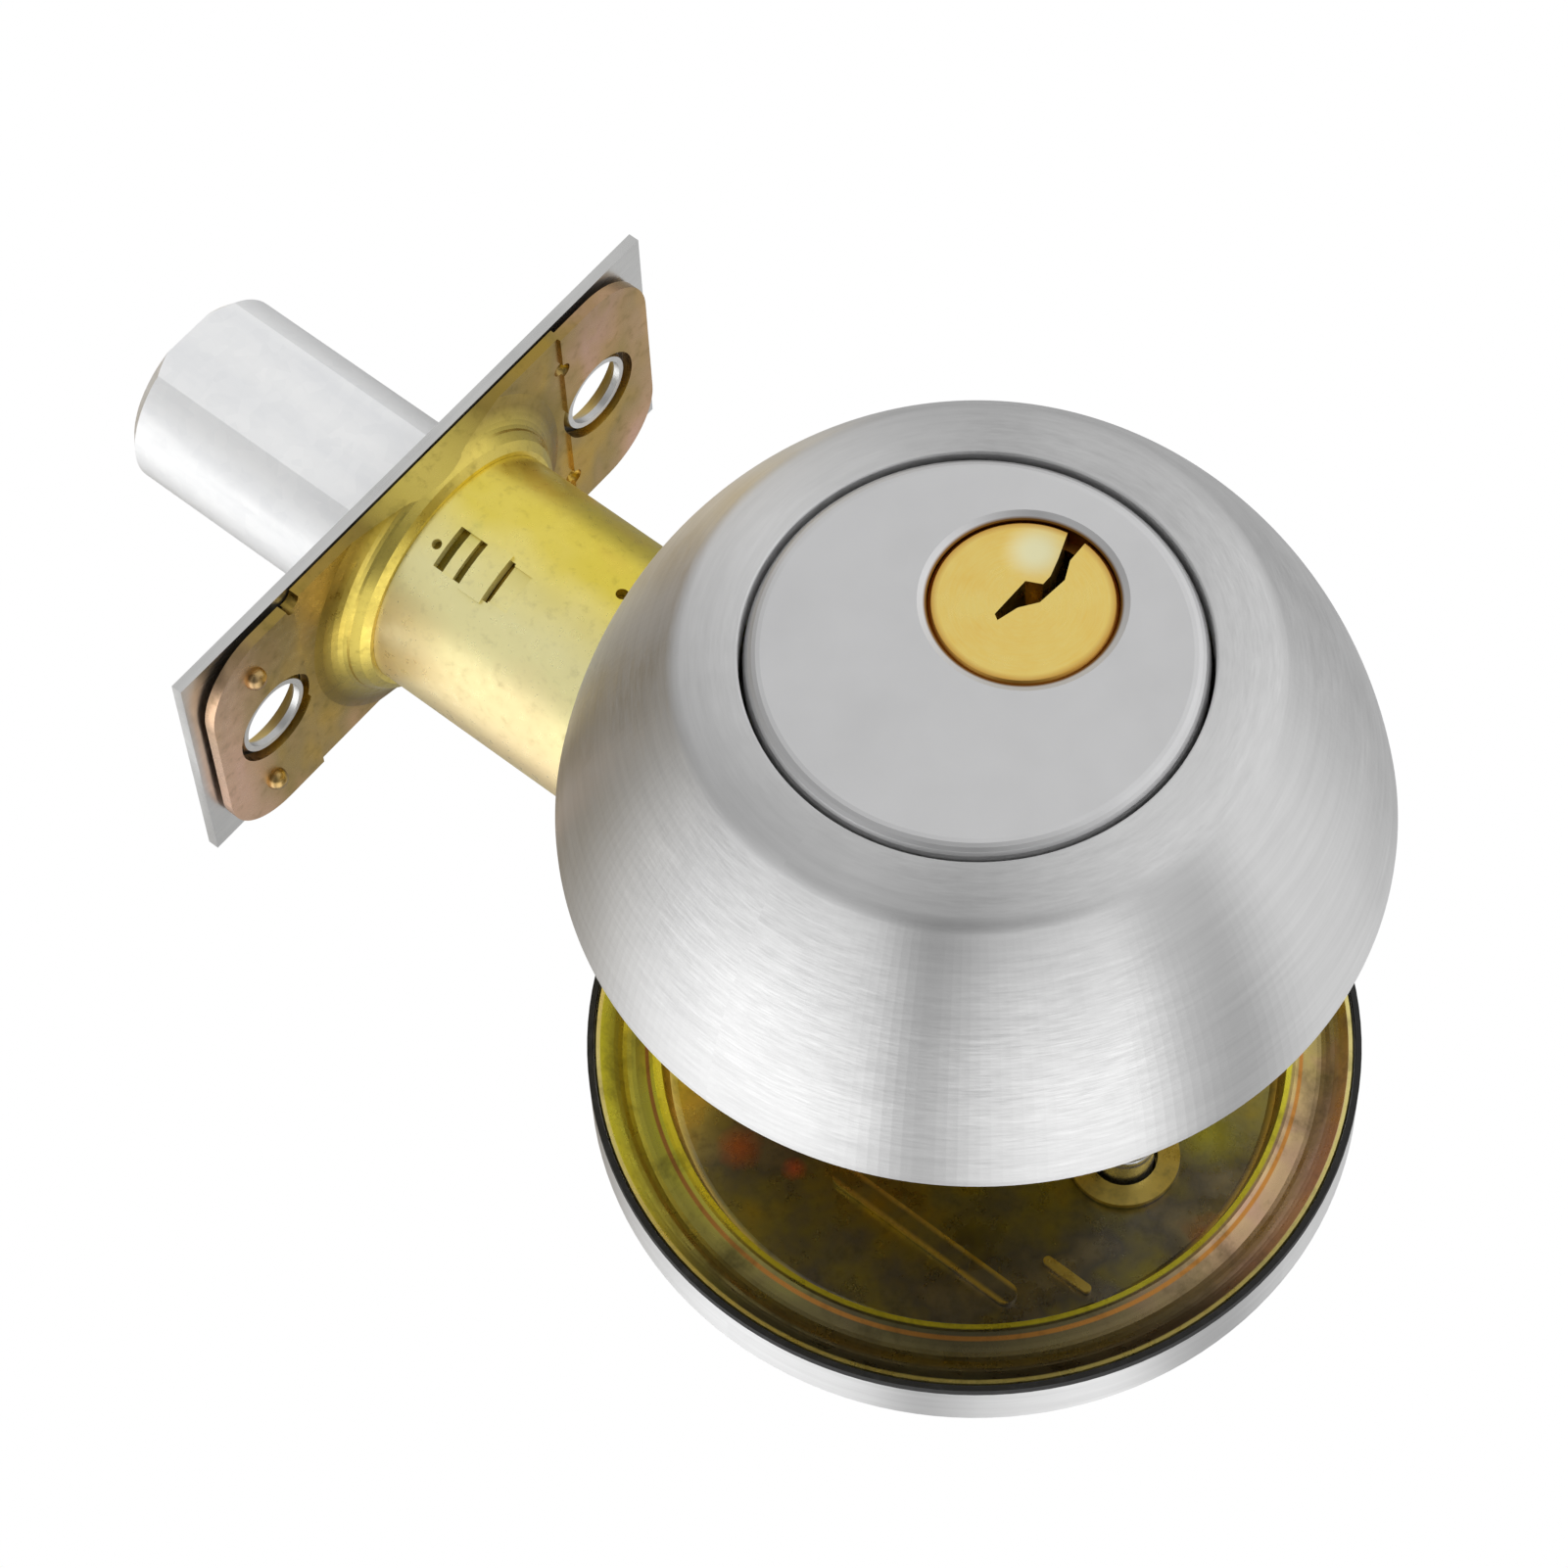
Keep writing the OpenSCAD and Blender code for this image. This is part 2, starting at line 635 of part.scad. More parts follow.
module bolt() {
    flat_len = bolt_s1 - bolt_s0;
    color("whitesmoke") on_bolt_axis() difference() {
        intersection() {
            union() {
                rod(bolt_r, bolt_s0, bolt_s1 - bolt_chamfer);
                translate([0, 0, bolt_s1 - bolt_chamfer])
                    cylinder(r1 = bolt_r, r2 = bolt_r - bolt_chamfer, h = bolt_chamfer);
            }
            translate([-bolt_across / 2, -bolt_r - 1, bolt_s0])
                cube([bolt_across, 2 * bolt_r + 2, flat_len]);
        }
        rod(insert_r + seat_gap, bolt_s0 - eps, bolt_s0 + insert_len + 2);
        block(-bar_t / 2 - seat_gap, bar_t / 2 + seat_gap, bar_top_y - bar_h - seat_gap,
            bar_top_y + seat_gap, bolt_s0 - eps, bolt_s0 + bar_in_bolt + seat_gap);
        translate([0, bar_top_y - bar_h / 2, bolt_s0 + bar_in_bolt - 3])
            rotate([0, 90, 0]) rod(bar_pin_r + weld_gap, -through, through);
    }
}

module bolt_insert() {
    color("dimgray") on_bolt_axis() rod(insert_r, bolt_s0 + 2, bolt_s0 + insert_len + 1.5);
}

module bolt_bar() {
    color("silver") difference() {
        union() {
            block(-bolt_s0 - bar_in_bolt, pin_x - head_half_w + eps, bar_top_y - bar_h, bar_top_y,
                -bar_t / 2, bar_t / 2);
            block(pin_x - head_half_w, pin_x + head_half_w, head_low_y, bar_top_y, -bar_t / 2, bar_t / 2);
        }
        block(pin_x - slot_half_w, pin_x + slot_half_w, pin_low_y - crank_pin_r - slip_gap,
            pin_y + crank_pin_r + slip_gap, -bar_t, bar_t);
        translate([-bolt_s0 - bar_in_bolt + 3, bar_top_y - bar_h / 2, 0])
            rod(bar_pin_r + weld_gap, -bar_t, bar_t);
    }
}

module bolt_bar_pin() {
    half = sqrt(bolt_r * bolt_r - pow(bar_top_y - bar_h / 2 - bar_pin_r, 2)) - 0.6;
    reach = min(half, bolt_across / 2 - 0.2);
    color("dimgray") translate([-bolt_s0 - bar_in_bolt + 3, bar_top_y - bar_h / 2, 0])
        rod(bar_pin_r, -reach, reach);
}

module crank_arm(z0) {
    across = [cos(crank_swing / 2), -sin(crank_swing / 2)];
    hub = [0, plug_offset];
    end = [pin_x, pin_y];
    translate([0, 0, z0]) linear_extrude(height = arm_t)
        polygon([hub + hub_r * across, end + arm_r * across, end - arm_r * across,
            hub - hub_r * across]);
    translate([pin_x, pin_y, 0]) rod(arm_r, z0, z0 + arm_t);
}

module crank() {
    color("darkkhaki") difference() {
        union() {
            translate([0, plug_offset, 0]) {
                rod(hub_r, -arm_z1, arm_z1);
                rod(trunnion_r, -side_z1 - 0.5, side_z1 + 0.5);
            }
            crank_arm(arm_z0);
            crank_arm(-arm_z1);
        }
        tail_slot(-through, through, slip_gap);
        translate([pin_x, pin_y, 0]) rod(crank_pin_r + weld_gap, -through, through);
    }
}

module crank_pin() {
    color("silver") translate([pin_x, pin_y, 0]) rod(crank_pin_r, -arm_z1, arm_z1);
}

module screw_holes(r) {
    for (side = [-1, 1]) translate([side * screw_x, 0, 0]) rod(r, -through, through);
}

// Raised bead with round ends, standing off the mounting plate's floor
module bead(x0, x1, y, w) {
    block(x0, x1, y - w / 2, y + w / 2, mount_floor_z1 - 0.3, mount_floor_z1 + 0.6);
    for (x = [x0, x1]) translate([x, y, 0]) rod(w / 2, mount_floor_z1 - 0.3, mount_floor_z1 + 0.6);
}

// Lip at the rim, a round-bottomed channel, a narrow ridge and the sunk floor
function mount_profile() = let (
    c0 = ridge_r + ridge_w / 2, c1 = mount_r - lip_w, back = mount_z1 - channel_drop - flat_t)
    concat([[0, mount_floor_z0], [mount_floor_r, mount_floor_z0], [c0, back], [mount_body_r, back],
        [mount_body_r, mount_lip_z0], [mount_r, mount_lip_z0], [mount_r, mount_z1 - 0.15],
        [mount_r - 0.15, mount_z1], [c1, mount_z1]],
    [for (i = [1:11]) let (u = i / 12)
        [c1 + (c0 - c1) * u, mount_z1 - ridge_drop * u - channel_drop * sin(180 * u)]],
    [[c0, mount_z1 - ridge_drop], [ridge_r - ridge_w / 2, mount_z1 - ridge_drop],
        [mount_floor_r + 0.3, mount_floor_z1 + 0.5], [mount_floor_r - 0.3, mount_floor_z1],
        [0, mount_floor_z1]]);

module mounting_plate() {
    boss_r = screw_r + 2.2;
    color("darkkhaki") difference() {
        union() {
            rotate_extrude() polygon(mount_profile());
            for (side = [-1, 1])
                translate([side * screw_x, 0, 0]) rod(boss_r, mount_floor_z0, mount_floor_z1 + 0.8);
            bead(-1, screw_x, -screw_x, 2);
            bead(screw_x + 1, screw_x + 5, -screw_x + 4.5, 0.8);
        }
        translate([0, plug_offset, 0]) rod(spindle_r + 0.8, -through, through);
        screw_holes(screw_r + wide_gap);
    }
}

module rose_shell() {
    outer = concat([[rose_r, back_z - gasket_t], [rose_r, back_z - gasket_t - shell_band]],
        [[shell_face_r, shell_z0 + 1.2]], arc(shell_face_r - 1.2, shell_z0 + 1.2, 1.2, 0, -90, 4),
        [[0, shell_z0], [0, shell_z0 + rose_wall]]);
    inner = [[shell_face_r - rose_wall - 0.6, shell_z0 + rose_wall],
        [rose_r - rose_wall, back_z - gasket_t - shell_band + 0.2], [rose_r - rose_wall, back_z - gasket_t]];
    color("gainsboro") difference() {
        rotate_extrude() polygon(concat(outer, inner));
        translate([0, plug_offset, 0]) rod(bush_hole_r, -through, through);
        screw_holes(screw_r + wide_gap);
    }
}

module rose_gasket() {
    color("black") ring(rose_r, rose_r - gasket_w, back_z - gasket_t, back_z);
}

module screw_spacers() {
    color("silver") for (side = [-1, 1]) translate([side * screw_x, 0, 0])
        ring(spacer_tube_r, screw_r + slip_gap, shell_z0 + rose_wall, mount_floor_z0);
}

module mounting_screws() {
    color("silver") for (side = [-1, 1]) translate([side * screw_x, 0, 0]) difference() {
        union() {
            rod(screw_r, shell_z0 - eps, screw_z1);
            rod(screw_head_r, shell_z0 - screw_head_h + 0.7, shell_z0);
            translate([0, 0, shell_z0 - screw_head_h])
                cylinder(r1 = screw_head_r - 1.2, r2 = screw_head_r, h = 0.7);
        }
        for (turn = [0, 90]) rotate([0, 0, turn])
            block(-cross_len / 2, cross_len / 2, -cross_w / 2, cross_w / 2, shell_z0 - screw_head_h - eps,
                shell_z0 - screw_head_h + 1.3);
    }
}

module thumbturn() {
    waist = grip_t / 2 - 1;
    color("silver") translate([0, plug_offset, 0]) difference() {
        union() {
            difference() {
                rod(spindle_r, turn_collar_z1, turn_z1);
                ring(spindle_r + eps, spindle_r - 1, turn_clip_z0 - seat_gap, turn_clip_z1 + seat_gap);
            }
            rod(turn_collar_r, turn_collar_z0, turn_collar_z1);
            intersection() {
                block(-grip_len / 2, grip_len / 2, -grip_t / 2, grip_t / 2, grip_z0, turn_collar_z0);
                translate([0, 0, (grip_z0 + turn_collar_z0) / 2])
                    rotate([90, 0, 0])
                        resized_disc(grip_len / 2, grip_h / 2, grip_t);
            }
            block(-turn_collar_r + 2, turn_collar_r - 2, -waist, waist, turn_collar_z0 - grip_h / 2,
                turn_collar_z0);
        }
        block(-tail_t / 2 - slip_gap, tail_t / 2 + slip_gap, -tail_w / 2 - slip_gap,
            tail_w / 2 + slip_gap, turn_collar_z0, turn_z1 + eps);
    }
}

// Slab with large rounded ends: a bar and two round ends
module resized_disc(half_len, half_h, t) {
    linear_extrude(height = 2 * t, center = true) {
        square([2 * (half_len - half_h), 2 * half_h], center = true);
        for (side = [-1, 1]) translate([side * (half_len - half_h), 0]) circle(r = half_h);
    }
}

module thumbturn_bush() {
    color("ivory") translate([0, plug_offset, 0]) {
        ring(bush_hole_r - seat_gap, spindle_r + run_gap, shell_z0, shell_z0 + rose_wall);
        ring(bush_flange_r, spindle_r + run_gap, shell_z0 - bush_flange_t, shell_z0);
    }
}

module thumbturn_washer() {
    color("lightslategray") translate([0, plug_offset, 0])
        ring(bush_flange_r + 0.4, spindle_r + 0.1, washer_z1 - washer_t, washer_z1);
}

module thumbturn_clip() {
    color("dimgray") translate([0, plug_offset, 0]) difference() {
        ring(spindle_r + 1.8, spindle_r - 1 + seat_gap, turn_clip_z0, turn_clip_z1);
        block(-2.4, 2.4, 0, spindle_r + 3, turn_clip_z0 - eps, turn_clip_z1 + eps);
    }
}

in_door() collar();
in_door() cylinder_housing();
in_door() collar_support();
in_door() chamber_cap();
in_door() key_plug();
in_door() plug_clip();
in_door() tailpiece();
in_door() key_pins();
in_door() driver_pins();
in_door() pin_springs();
in_door() faceplate();
in_door() backplate();
in_door() latch_tube();
in_door() inner_sleeve();
in_door() tube_cap();
in_door() tail_side(side_z0);  // tail_side_front
in_door() tail_side(-side_z1);  // tail_side_back
in_door() tail_spacers();
in_door() hub_spring();
in_door() bolt();
in_door() bolt_insert();
in_door() bolt_bar();
in_door() bolt_bar_pin();
in_door() crank();
in_door() crank_pin();
in_door() mounting_plate();
in_door() rose_shell();
in_door() rose_gasket();
in_door() screw_spacers();
in_door() mounting_screws();
in_door() thumbturn();
in_door() thumbturn_bush();
in_door() thumbturn_washer();
in_door() thumbturn_clip();
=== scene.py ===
# %% [markdown]
# # A tubular deadbolt lock
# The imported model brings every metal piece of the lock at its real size.
# This lesson sets the camera and the light, gives each piece a finish of its own,
# and adds the fine shapes that are too small to matter to a machine shop drawing.

# %% Load the frame
import bpy, bmesh, math
from mathutils import Matrix, Vector


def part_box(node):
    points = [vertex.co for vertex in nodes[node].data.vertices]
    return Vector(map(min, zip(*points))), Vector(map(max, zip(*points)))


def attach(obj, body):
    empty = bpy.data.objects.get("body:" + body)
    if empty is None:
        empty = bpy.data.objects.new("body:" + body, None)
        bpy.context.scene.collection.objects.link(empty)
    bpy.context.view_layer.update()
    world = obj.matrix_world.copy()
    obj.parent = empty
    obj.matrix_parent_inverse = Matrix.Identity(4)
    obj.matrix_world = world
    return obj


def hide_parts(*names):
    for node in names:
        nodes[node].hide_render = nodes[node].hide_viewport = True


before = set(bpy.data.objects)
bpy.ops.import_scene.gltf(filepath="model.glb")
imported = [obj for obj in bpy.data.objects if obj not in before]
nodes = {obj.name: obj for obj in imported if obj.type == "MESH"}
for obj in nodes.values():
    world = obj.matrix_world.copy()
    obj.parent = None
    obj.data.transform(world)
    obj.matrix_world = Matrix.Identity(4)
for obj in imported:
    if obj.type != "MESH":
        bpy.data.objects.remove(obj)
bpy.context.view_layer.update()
scene = bpy.context.scene

# %% [markdown]
# ## Camera
# The lock is held up in the air with its keyed side towards us, seen from below and from the
# right, and the camera is rolled so that the bolt points to the lower left.
# The camera's place is given by an aim point, a distance and three angles.

# %% Camera
AIM = Vector((-0.0181, -0.0062, -0.0020))
AZIMUTH, ELEVATION, ROLL = math.radians(21.28), math.radians(-21.90), math.radians(43.2)
DISTANCE, LENS, SENSOR, NEAREST = 0.4334, 122.97, 36, 0.01

back = Vector((math.sin(AZIMUTH) * math.cos(ELEVATION), -math.cos(AZIMUTH) * math.cos(ELEVATION),
               math.sin(ELEVATION)))
right = Vector((math.cos(AZIMUTH), math.sin(AZIMUTH), 0))
up = back.cross(right)
right, up = (right * math.cos(ROLL) + up * math.sin(ROLL), up * math.cos(ROLL) - right * math.sin(ROLL))
cam = bpy.data.objects.new("camera", bpy.data.cameras.new("camera"))
cam.matrix_world = Matrix.Translation(AIM + back * DISTANCE) @ Matrix((right, up, back)).transposed().to_4x4()
cam.data.lens, cam.data.sensor_width, cam.data.clip_start = LENS, SENSOR, NEAREST
cam.data.dof.use_dof = False
scene.collection.objects.link(cam)
scene.camera = cam
print("camera at", [round(c, 4) for c in cam.matrix_world.translation])

# %% [markdown]
# ## Node trees
# The sky, the finishes and the shapes are all small trees of nodes. `Tree` keeps their scripts short:
# it adds a node, sets its inputs by name, and links any input that is given as another node's output.
# An input that is known by its place and not by its name is written i0, i1 and so on.

# %% Node helpers
class Tree:
    def __init__(self, tree):
        self.nodes, self.links = tree.nodes, tree.links

    def add(self, kind, props=None, **inputs):
        node = self.nodes.new(kind)
        for key, value in (props or {}).items():
            setattr(node, key, value)
        for key, value in inputs.items():
            counted = key[0] == "i" and key[1:].isdigit()
            self.put(node.inputs[int(key[1:]) if counted else key.replace("_", " ")], value)
        return node

    def put(self, slot, value):
        if isinstance(value, bpy.types.NodeSocket):
            self.links.new(value, slot)
        elif slot.type == "RGBA":
            slot.default_value = (*value, 1)
        else:
            slot.default_value = value

    def math(self, op, a, b=0.0):
        return self.add("ShaderNodeMath", {"operation": op}, i0=a, i1=b).outputs[0]

    def vector(self, op, a, b):
        return self.add("ShaderNodeVectorMath", {"operation": op}, i0=a, i1=b).outputs["Vector"]

    def distance(self, a, b):
        return self.add("ShaderNodeVectorMath", {"operation": "DISTANCE"}, i0=a, i1=b).outputs["Value"]

    def split(self, vector):
        return self.add("ShaderNodeSeparateXYZ", None, Vector=vector).outputs

    def join(self, x, y, z):
        return self.add("ShaderNodeCombineXYZ", None, X=x, Y=y, Z=z).outputs[0]

    def noise(self, vector, scale, detail=3.0, rough=0.5):
        node = self.add("ShaderNodeTexNoise", None, Vector=vector, Scale=scale, Detail=detail,
                        Roughness=rough)
        return node.outputs["Fac"]

    def ramp(self, value, stops):
        node = self.add("ShaderNodeValToRGB", None, Fac=value)
        while len(node.color_ramp.elements) < len(stops):
            node.color_ramp.elements.new(0.5)
        for stop, (at, color) in zip(node.color_ramp.elements, stops):
            stop.position, stop.color = at, (*color, 1)
        return node.outputs["Color"]

    def span(self, value, low, high, new_low, new_high, curve="LINEAR"):
        """From new_low to new_high as the value goes from low to high, and no further."""
        node = self.add("ShaderNodeMapRange", {"interpolation_type": curve}, Value=value, From_Min=low,
                        From_Max=high, To_Min=new_low, To_Max=new_high)
        return node.outputs["Result"]

    def mix(self, fac, a, b):
        return self.add("ShaderNodeMix", {"data_type": "RGBA"}, i0=fac, i6=a, i7=b).outputs[2]


print("helpers ready")

# %% [markdown]
# ## Sky
# Brushed metal shows what is round it, so the light comes from a sky of soft panels and gaps.
# They stand round the lock's own axis, because the cone is a turned shape: each panel becomes a
# bright band that runs from the cone's rim to its mouth, and each gap a dark one. The front and
# the back of the sky are calmer. The camera itself sees plain white paper.

# %% Sky
# Brightness round the lock's axis as (turn, level), from the bolt's side through below, right and above.
# A brown card stands at the first and the last turn: the yellow tube is there and tints what it lights.
BROWN_CARD = (0.14, 0.08, 0.0)
SIDES = [(0.00, BROWN_CARD), (0.025, (0.17, 0.11, 0.02)), (0.07, (0.48, 0.45, 0.40)), (0.15, 1.55),
         (0.20, 1.90), (0.285, 1.75), (0.321, 0.75), (0.360, 1.40), (0.41, 1.80), (0.455, 1.75),
         (0.495, 0.70), (0.532, 0.34), (0.575, 0.97), (0.64, 0.74), (0.70, 0.40), (0.78, 0.26), (0.88, 0.31),
         (0.925, (0.60, 0.41, 0.08)), (0.965, (0.20, 0.11, 0.0)), (1.0, BROWN_CARD)]
FRONT = [(0.0, 0.42), (0.06, 0.33), (0.12, 0.34), (0.18, 0.55), (0.24, 0.52), (0.29, 0.26), (0.33, 0.13),
         (0.42, 0.33), (0.52, 0.74), (0.60, 0.96), (0.68, 1.02), (0.76, 0.93), (0.80, 0.82), (0.84, 0.72),
         (0.87, 0.60), (0.90, 0.74), (0.93, 0.78), (0.96, 0.55), (1.0, 0.42)]
BEHIND, PAPER = (0.34, 0.34, 0.34), (1.0, 1.0, 1.0)
# A direction's y where one part of the sky starts to give way to the next, and where it has done so.
SIDES_TO_FRONT, SIDES_TO_BEHIND = (0.05, -0.30), (0.70, 0.95)


def studio_sky():
    scene.world = bpy.data.worlds.new("sky")
    scene.world.use_nodes = True
    t = Tree(scene.world.node_tree)
    x, y, z = t.split(t.add("ShaderNodeTexCoord").outputs["Generated"])
    around = t.math("ADD", t.math("DIVIDE", t.math("ARCTAN2", z, x), 2 * math.pi), 0.5)

    def ring(panels):
        grey = [(at, level if isinstance(level, tuple) else (level,) * 3) for at, level in panels]
        return t.ramp(around, grey)

    light = t.mix(t.span(y, *SIDES_TO_FRONT, 0.0, 1.0, "SMOOTHSTEP"), ring(SIDES), ring(FRONT))
    light = t.mix(t.span(y, *SIDES_TO_BEHIND, 0.0, 1.0, "SMOOTHSTEP"), light, BEHIND)
    eye = t.add("ShaderNodeLightPath").outputs["Is Camera Ray"]
    t.put(t.nodes["Background"].inputs["Color"], t.mix(eye, light, PAPER))


studio_sky()
scene.view_settings.view_transform = "Standard"
print("sky:", len(SIDES), "panels and gaps at the sides,", len(FRONT), "in front")

# %% [markdown]
# ## Floor and lamps
# The lock hangs above a plain pale floor. Two soft lamps light the pieces that are not bare metal.
# Neither they nor the floor are mirrored in the metal, which shows the sky alone.

# %% Floor and lamps
LOCK_MIDDLE = Vector((0, -0.02, 0))
FLOOR_PLACE, FLOOR_SIZE, FLOOR_COLOR, FLOOR_ROUGH = (0, 0, -0.30), 6, (0.95, 0.95, 0.94), 0.9
# Place as seen by the camera (to the right, up, towards it), width and height, power.
LAMPS = {"key": ((-0.30, 0.40, 0.45), (0.40, 0.40), 1.3), "fill": ((0.50, 0.10, 0.40), (0.30, 0.50), 0.3)}


def soft_lamp(name, seen_at, size, power):
    lamp = bpy.data.objects.new(name, bpy.data.lights.new(name, "AREA"))
    lamp.data.shape, lamp.data.size, lamp.data.size_y = "RECTANGLE", *size
    lamp.data.energy = power
    lamp.visible_glossy = False
    scene.collection.objects.link(lamp)
    place = AIM + right * seen_at[0] + up * seen_at[1] + back * seen_at[2]
    facing = (LOCK_MIDDLE - place).to_track_quat("-Z", "Y")
    lamp.matrix_world = Matrix.Translation(place) @ facing.to_matrix().to_4x4()


def plain(name, color, rough):
    mat = bpy.data.materials.new(name)
    mat.use_nodes = True
    shader = mat.node_tree.nodes["Principled BSDF"]
    shader.inputs["Base Color"].default_value = (*color, 1)
    shader.inputs["Roughness"].default_value = rough
    return mat


def card(name, place, size, finish):
    """A flat square card of the stage."""
    mesh = bpy.data.meshes.new(name)
    half = size / 2
    corners = [(-half, -half, 0), (half, -half, 0), (half, half, 0), (-half, half, 0)]
    mesh.from_pydata(corners, [], [(3, 2, 1, 0)])
    obj = bpy.data.objects.new(name, mesh)
    scene.collection.objects.link(obj)
    mesh.materials.append(finish)
    obj.matrix_world = Matrix.Translation(place)
    return obj


floor = card("floor", FLOOR_PLACE, FLOOR_SIZE, plain("floor_mat", FLOOR_COLOR, FLOOR_ROUGH))
floor.visible_glossy = False
for lamp_name, sizes in LAMPS.items():
    soft_lamp(lamp_name, *sizes)

# %% [markdown]
# ## Finishes
# Every finish is a procedural material whose colour, roughness and bump all vary. `Finish` is a tree
# that also knows its shader. The patterns read the object's own coordinates in metres, so they stay
# at their real size, and `polar` finds a point's place about an axis of the lock.

# %% Finish helpers
class Finish(Tree):
    def __init__(self, name):
        self.mat = bpy.data.materials.new(name)
        self.mat.use_nodes = True
        super().__init__(self.mat.node_tree)
        self.shader = self.nodes["Principled BSDF"]
        self.place = self.add("ShaderNodeTexCoord").outputs["Object"]

    def set(self, **inputs):
        for key, value in inputs.items():
            self.put(self.shader.inputs[key.replace("_", " ")], value)

    def bump(self, height, distance):
        node = self.add("ShaderNodeBump", None, Height=height, Distance=distance)
        self.put(self.shader.inputs["Normal"], node.outputs["Normal"])


def polar(t, axis, centre=(0, 0, 0)):
    """Radius and angle of a point about an axis of the lock, and its place along that axis."""
    part = t.split(t.vector("SUBTRACT", t.place, centre))
    a, b = [part[i] for i in range(3) if i != "XYZ".index(axis)]
    radius = t.math("SQRT", t.math("ADD", t.math("MULTIPLY", a, a), t.math("MULTIPLY", b, b)))
    return radius, t.math("ARCTAN2", a, b), part["XYZ".index(axis)]


def shade(color, by):
    return tuple(c * by for c in color)


print("finish helpers ready")

# %% [markdown]
# ## Brushed and turned metal
# A belt or a lathe tool leaves fine lines that all run one way. Their height is noise that is
# very long along the line and very short across it. The same noise makes the roughness uneven,
# and slow noise gives the soft clouds that handling leaves on a real surface.
# The tangent runs round the turning axis, so the light spreads across the lines. On turned pieces, darker
# radial fans are painted into the colour as a painted reflection of the brushed bands.

# %% Lined metal
LINE_SCALE, BROAD_SCALE, LINE_STRETCH, LINE_DEPTH = 9000.0, 1500.0, 0.02, 2e-6
TURN_STRETCH = 0.0016   # metres of pattern for each radian round the axis
FAN_SCALE, FAN_SEED = 1.5, 0.37


def lined(name, color, rough, kind, spread=0.5, dark=0.82, streaks=0.0):
    """Metal with fine lines: kind is 'turned Y', 'along Z' or 'along X'; streaks, for turned ones, is how
    strong the darker radial fans of painted reflection are.
    """
    t = Finish(name)
    turned, axis = kind.startswith("turned"), kind[-1]
    if turned:
        radius, angle, height = polar(t, axis)
        across = t.join(radius, height, t.math("MULTIPLY", angle, TURN_STRETCH))
    else:
        across = t.vector("MULTIPLY", t.place, [LINE_STRETCH if c == axis else 1.0 for c in "XYZ"])
    lines = t.noise(across, LINE_SCALE, 2.0, 0.6)
    broad = t.noise(across, BROAD_SCALE, 3.0, 0.6)
    clouds = t.noise(t.place, 90.0, 4.0, 0.55)
    tint = t.mix(t.span(clouds, 0.3, 0.7, 0.0, 1.0), shade(color, dark), color)
    tint = t.mix(t.span(broad, 0.3, 0.7, 0.0, 0.35), tint, shade(color, 0.72))
    if streaks:
        # painted reflection: darker radial fans round the axis stand in for the bands that the brushed
        # turning reflects
        reflection_fan = t.noise(t.join(t.math("COSINE", angle), t.math("SINE", angle), FAN_SEED), FAN_SCALE, 3.0, 0.6)
        tint = t.mix(t.span(reflection_fan, 0.42, 0.66, 0.0, streaks), tint, shade(color, 0.45))
    grain = t.math("ADD", t.span(lines, 0.25, 0.75, -0.05, 0.06), t.span(clouds, 0.3, 0.7, -0.03, 0.04))
    t.set(Base_Color=tint, Metallic=1.0, Roughness=t.math("ADD", grain, rough), Anisotropic=spread)
    if turned:
        tangent = t.add("ShaderNodeTangent", {"direction_type": "RADIAL", "axis": axis})
        t.set(Tangent=tangent.outputs[0], Anisotropic_Rotation=0.25)
    t.bump(t.math("ADD", lines, t.math("MULTIPLY", broad, 0.6)), LINE_DEPTH)
    return t.mat


print("lined metal ready")

# %% [markdown]
# ## Yellow zinc plating
# The latch's tube and plates are steel with zinc and a yellow chromate film.
# The film is thinner and thicker from place to place, and shows it as green, rose and straw
# clouds, stronger where the surface turns away. A fine orange-peel bump breaks the highlights.

# %% Yellow zinc
STRAW, LEAF, ROSE, COPPER = (0.88, 0.72, 0.10), (0.50, 0.58, 0.08), (0.78, 0.42, 0.34), (0.74, 0.36, 0.12)
PALE, OLIVE, UMBER = (0.93, 0.86, 0.42), (0.20, 0.16, 0.03), (0.52, 0.32, 0.07)
FILM_FIRST, FILM_LAST, FILM_SCALE = 0.30, 0.78, 45.0
PEEL_DEPTH = 4e-6


def yellow_film(t, scale, colors):
    """Colour of the film: slow noise picks from the colours, and the film looks thicker at a slant."""
    flow = t.vector("MULTIPLY", t.place, (1.0, 0.6, 1.3))
    slant = t.add("ShaderNodeLayerWeight", None, Blend=0.25).outputs["Facing"]
    film = t.math("ADD", t.noise(flow, scale, 3.0, 0.55), t.math("MULTIPLY", slant, 0.10))
    step = (FILM_LAST - FILM_FIRST) / (len(colors) - 1)
    return t.ramp(film, [(FILM_FIRST + i * step, c) for i, c in enumerate(colors)])


def zinc_coat(t, tint, rough, grime_level=0.4, metallic=1.0):
    """Grime in the pores, uneven gloss and orange-peel bump under the film."""
    grime = t.noise(t.place, 900.0, 4.0, 0.65)
    tint = t.mix(t.span(grime, 0.55, 0.8, 0.0, grime_level), tint, shade(OLIVE, 0.8))
    t.set(Base_Color=tint, Metallic=metallic, Roughness=t.span(grime, 0.3, 0.7, rough - 0.06, rough + 0.12))
    t.bump(t.math("ADD", t.noise(t.place, 2600.0, 2.0), t.math("MULTIPLY", grime, 0.7)), PEEL_DEPTH)
    return t.mat


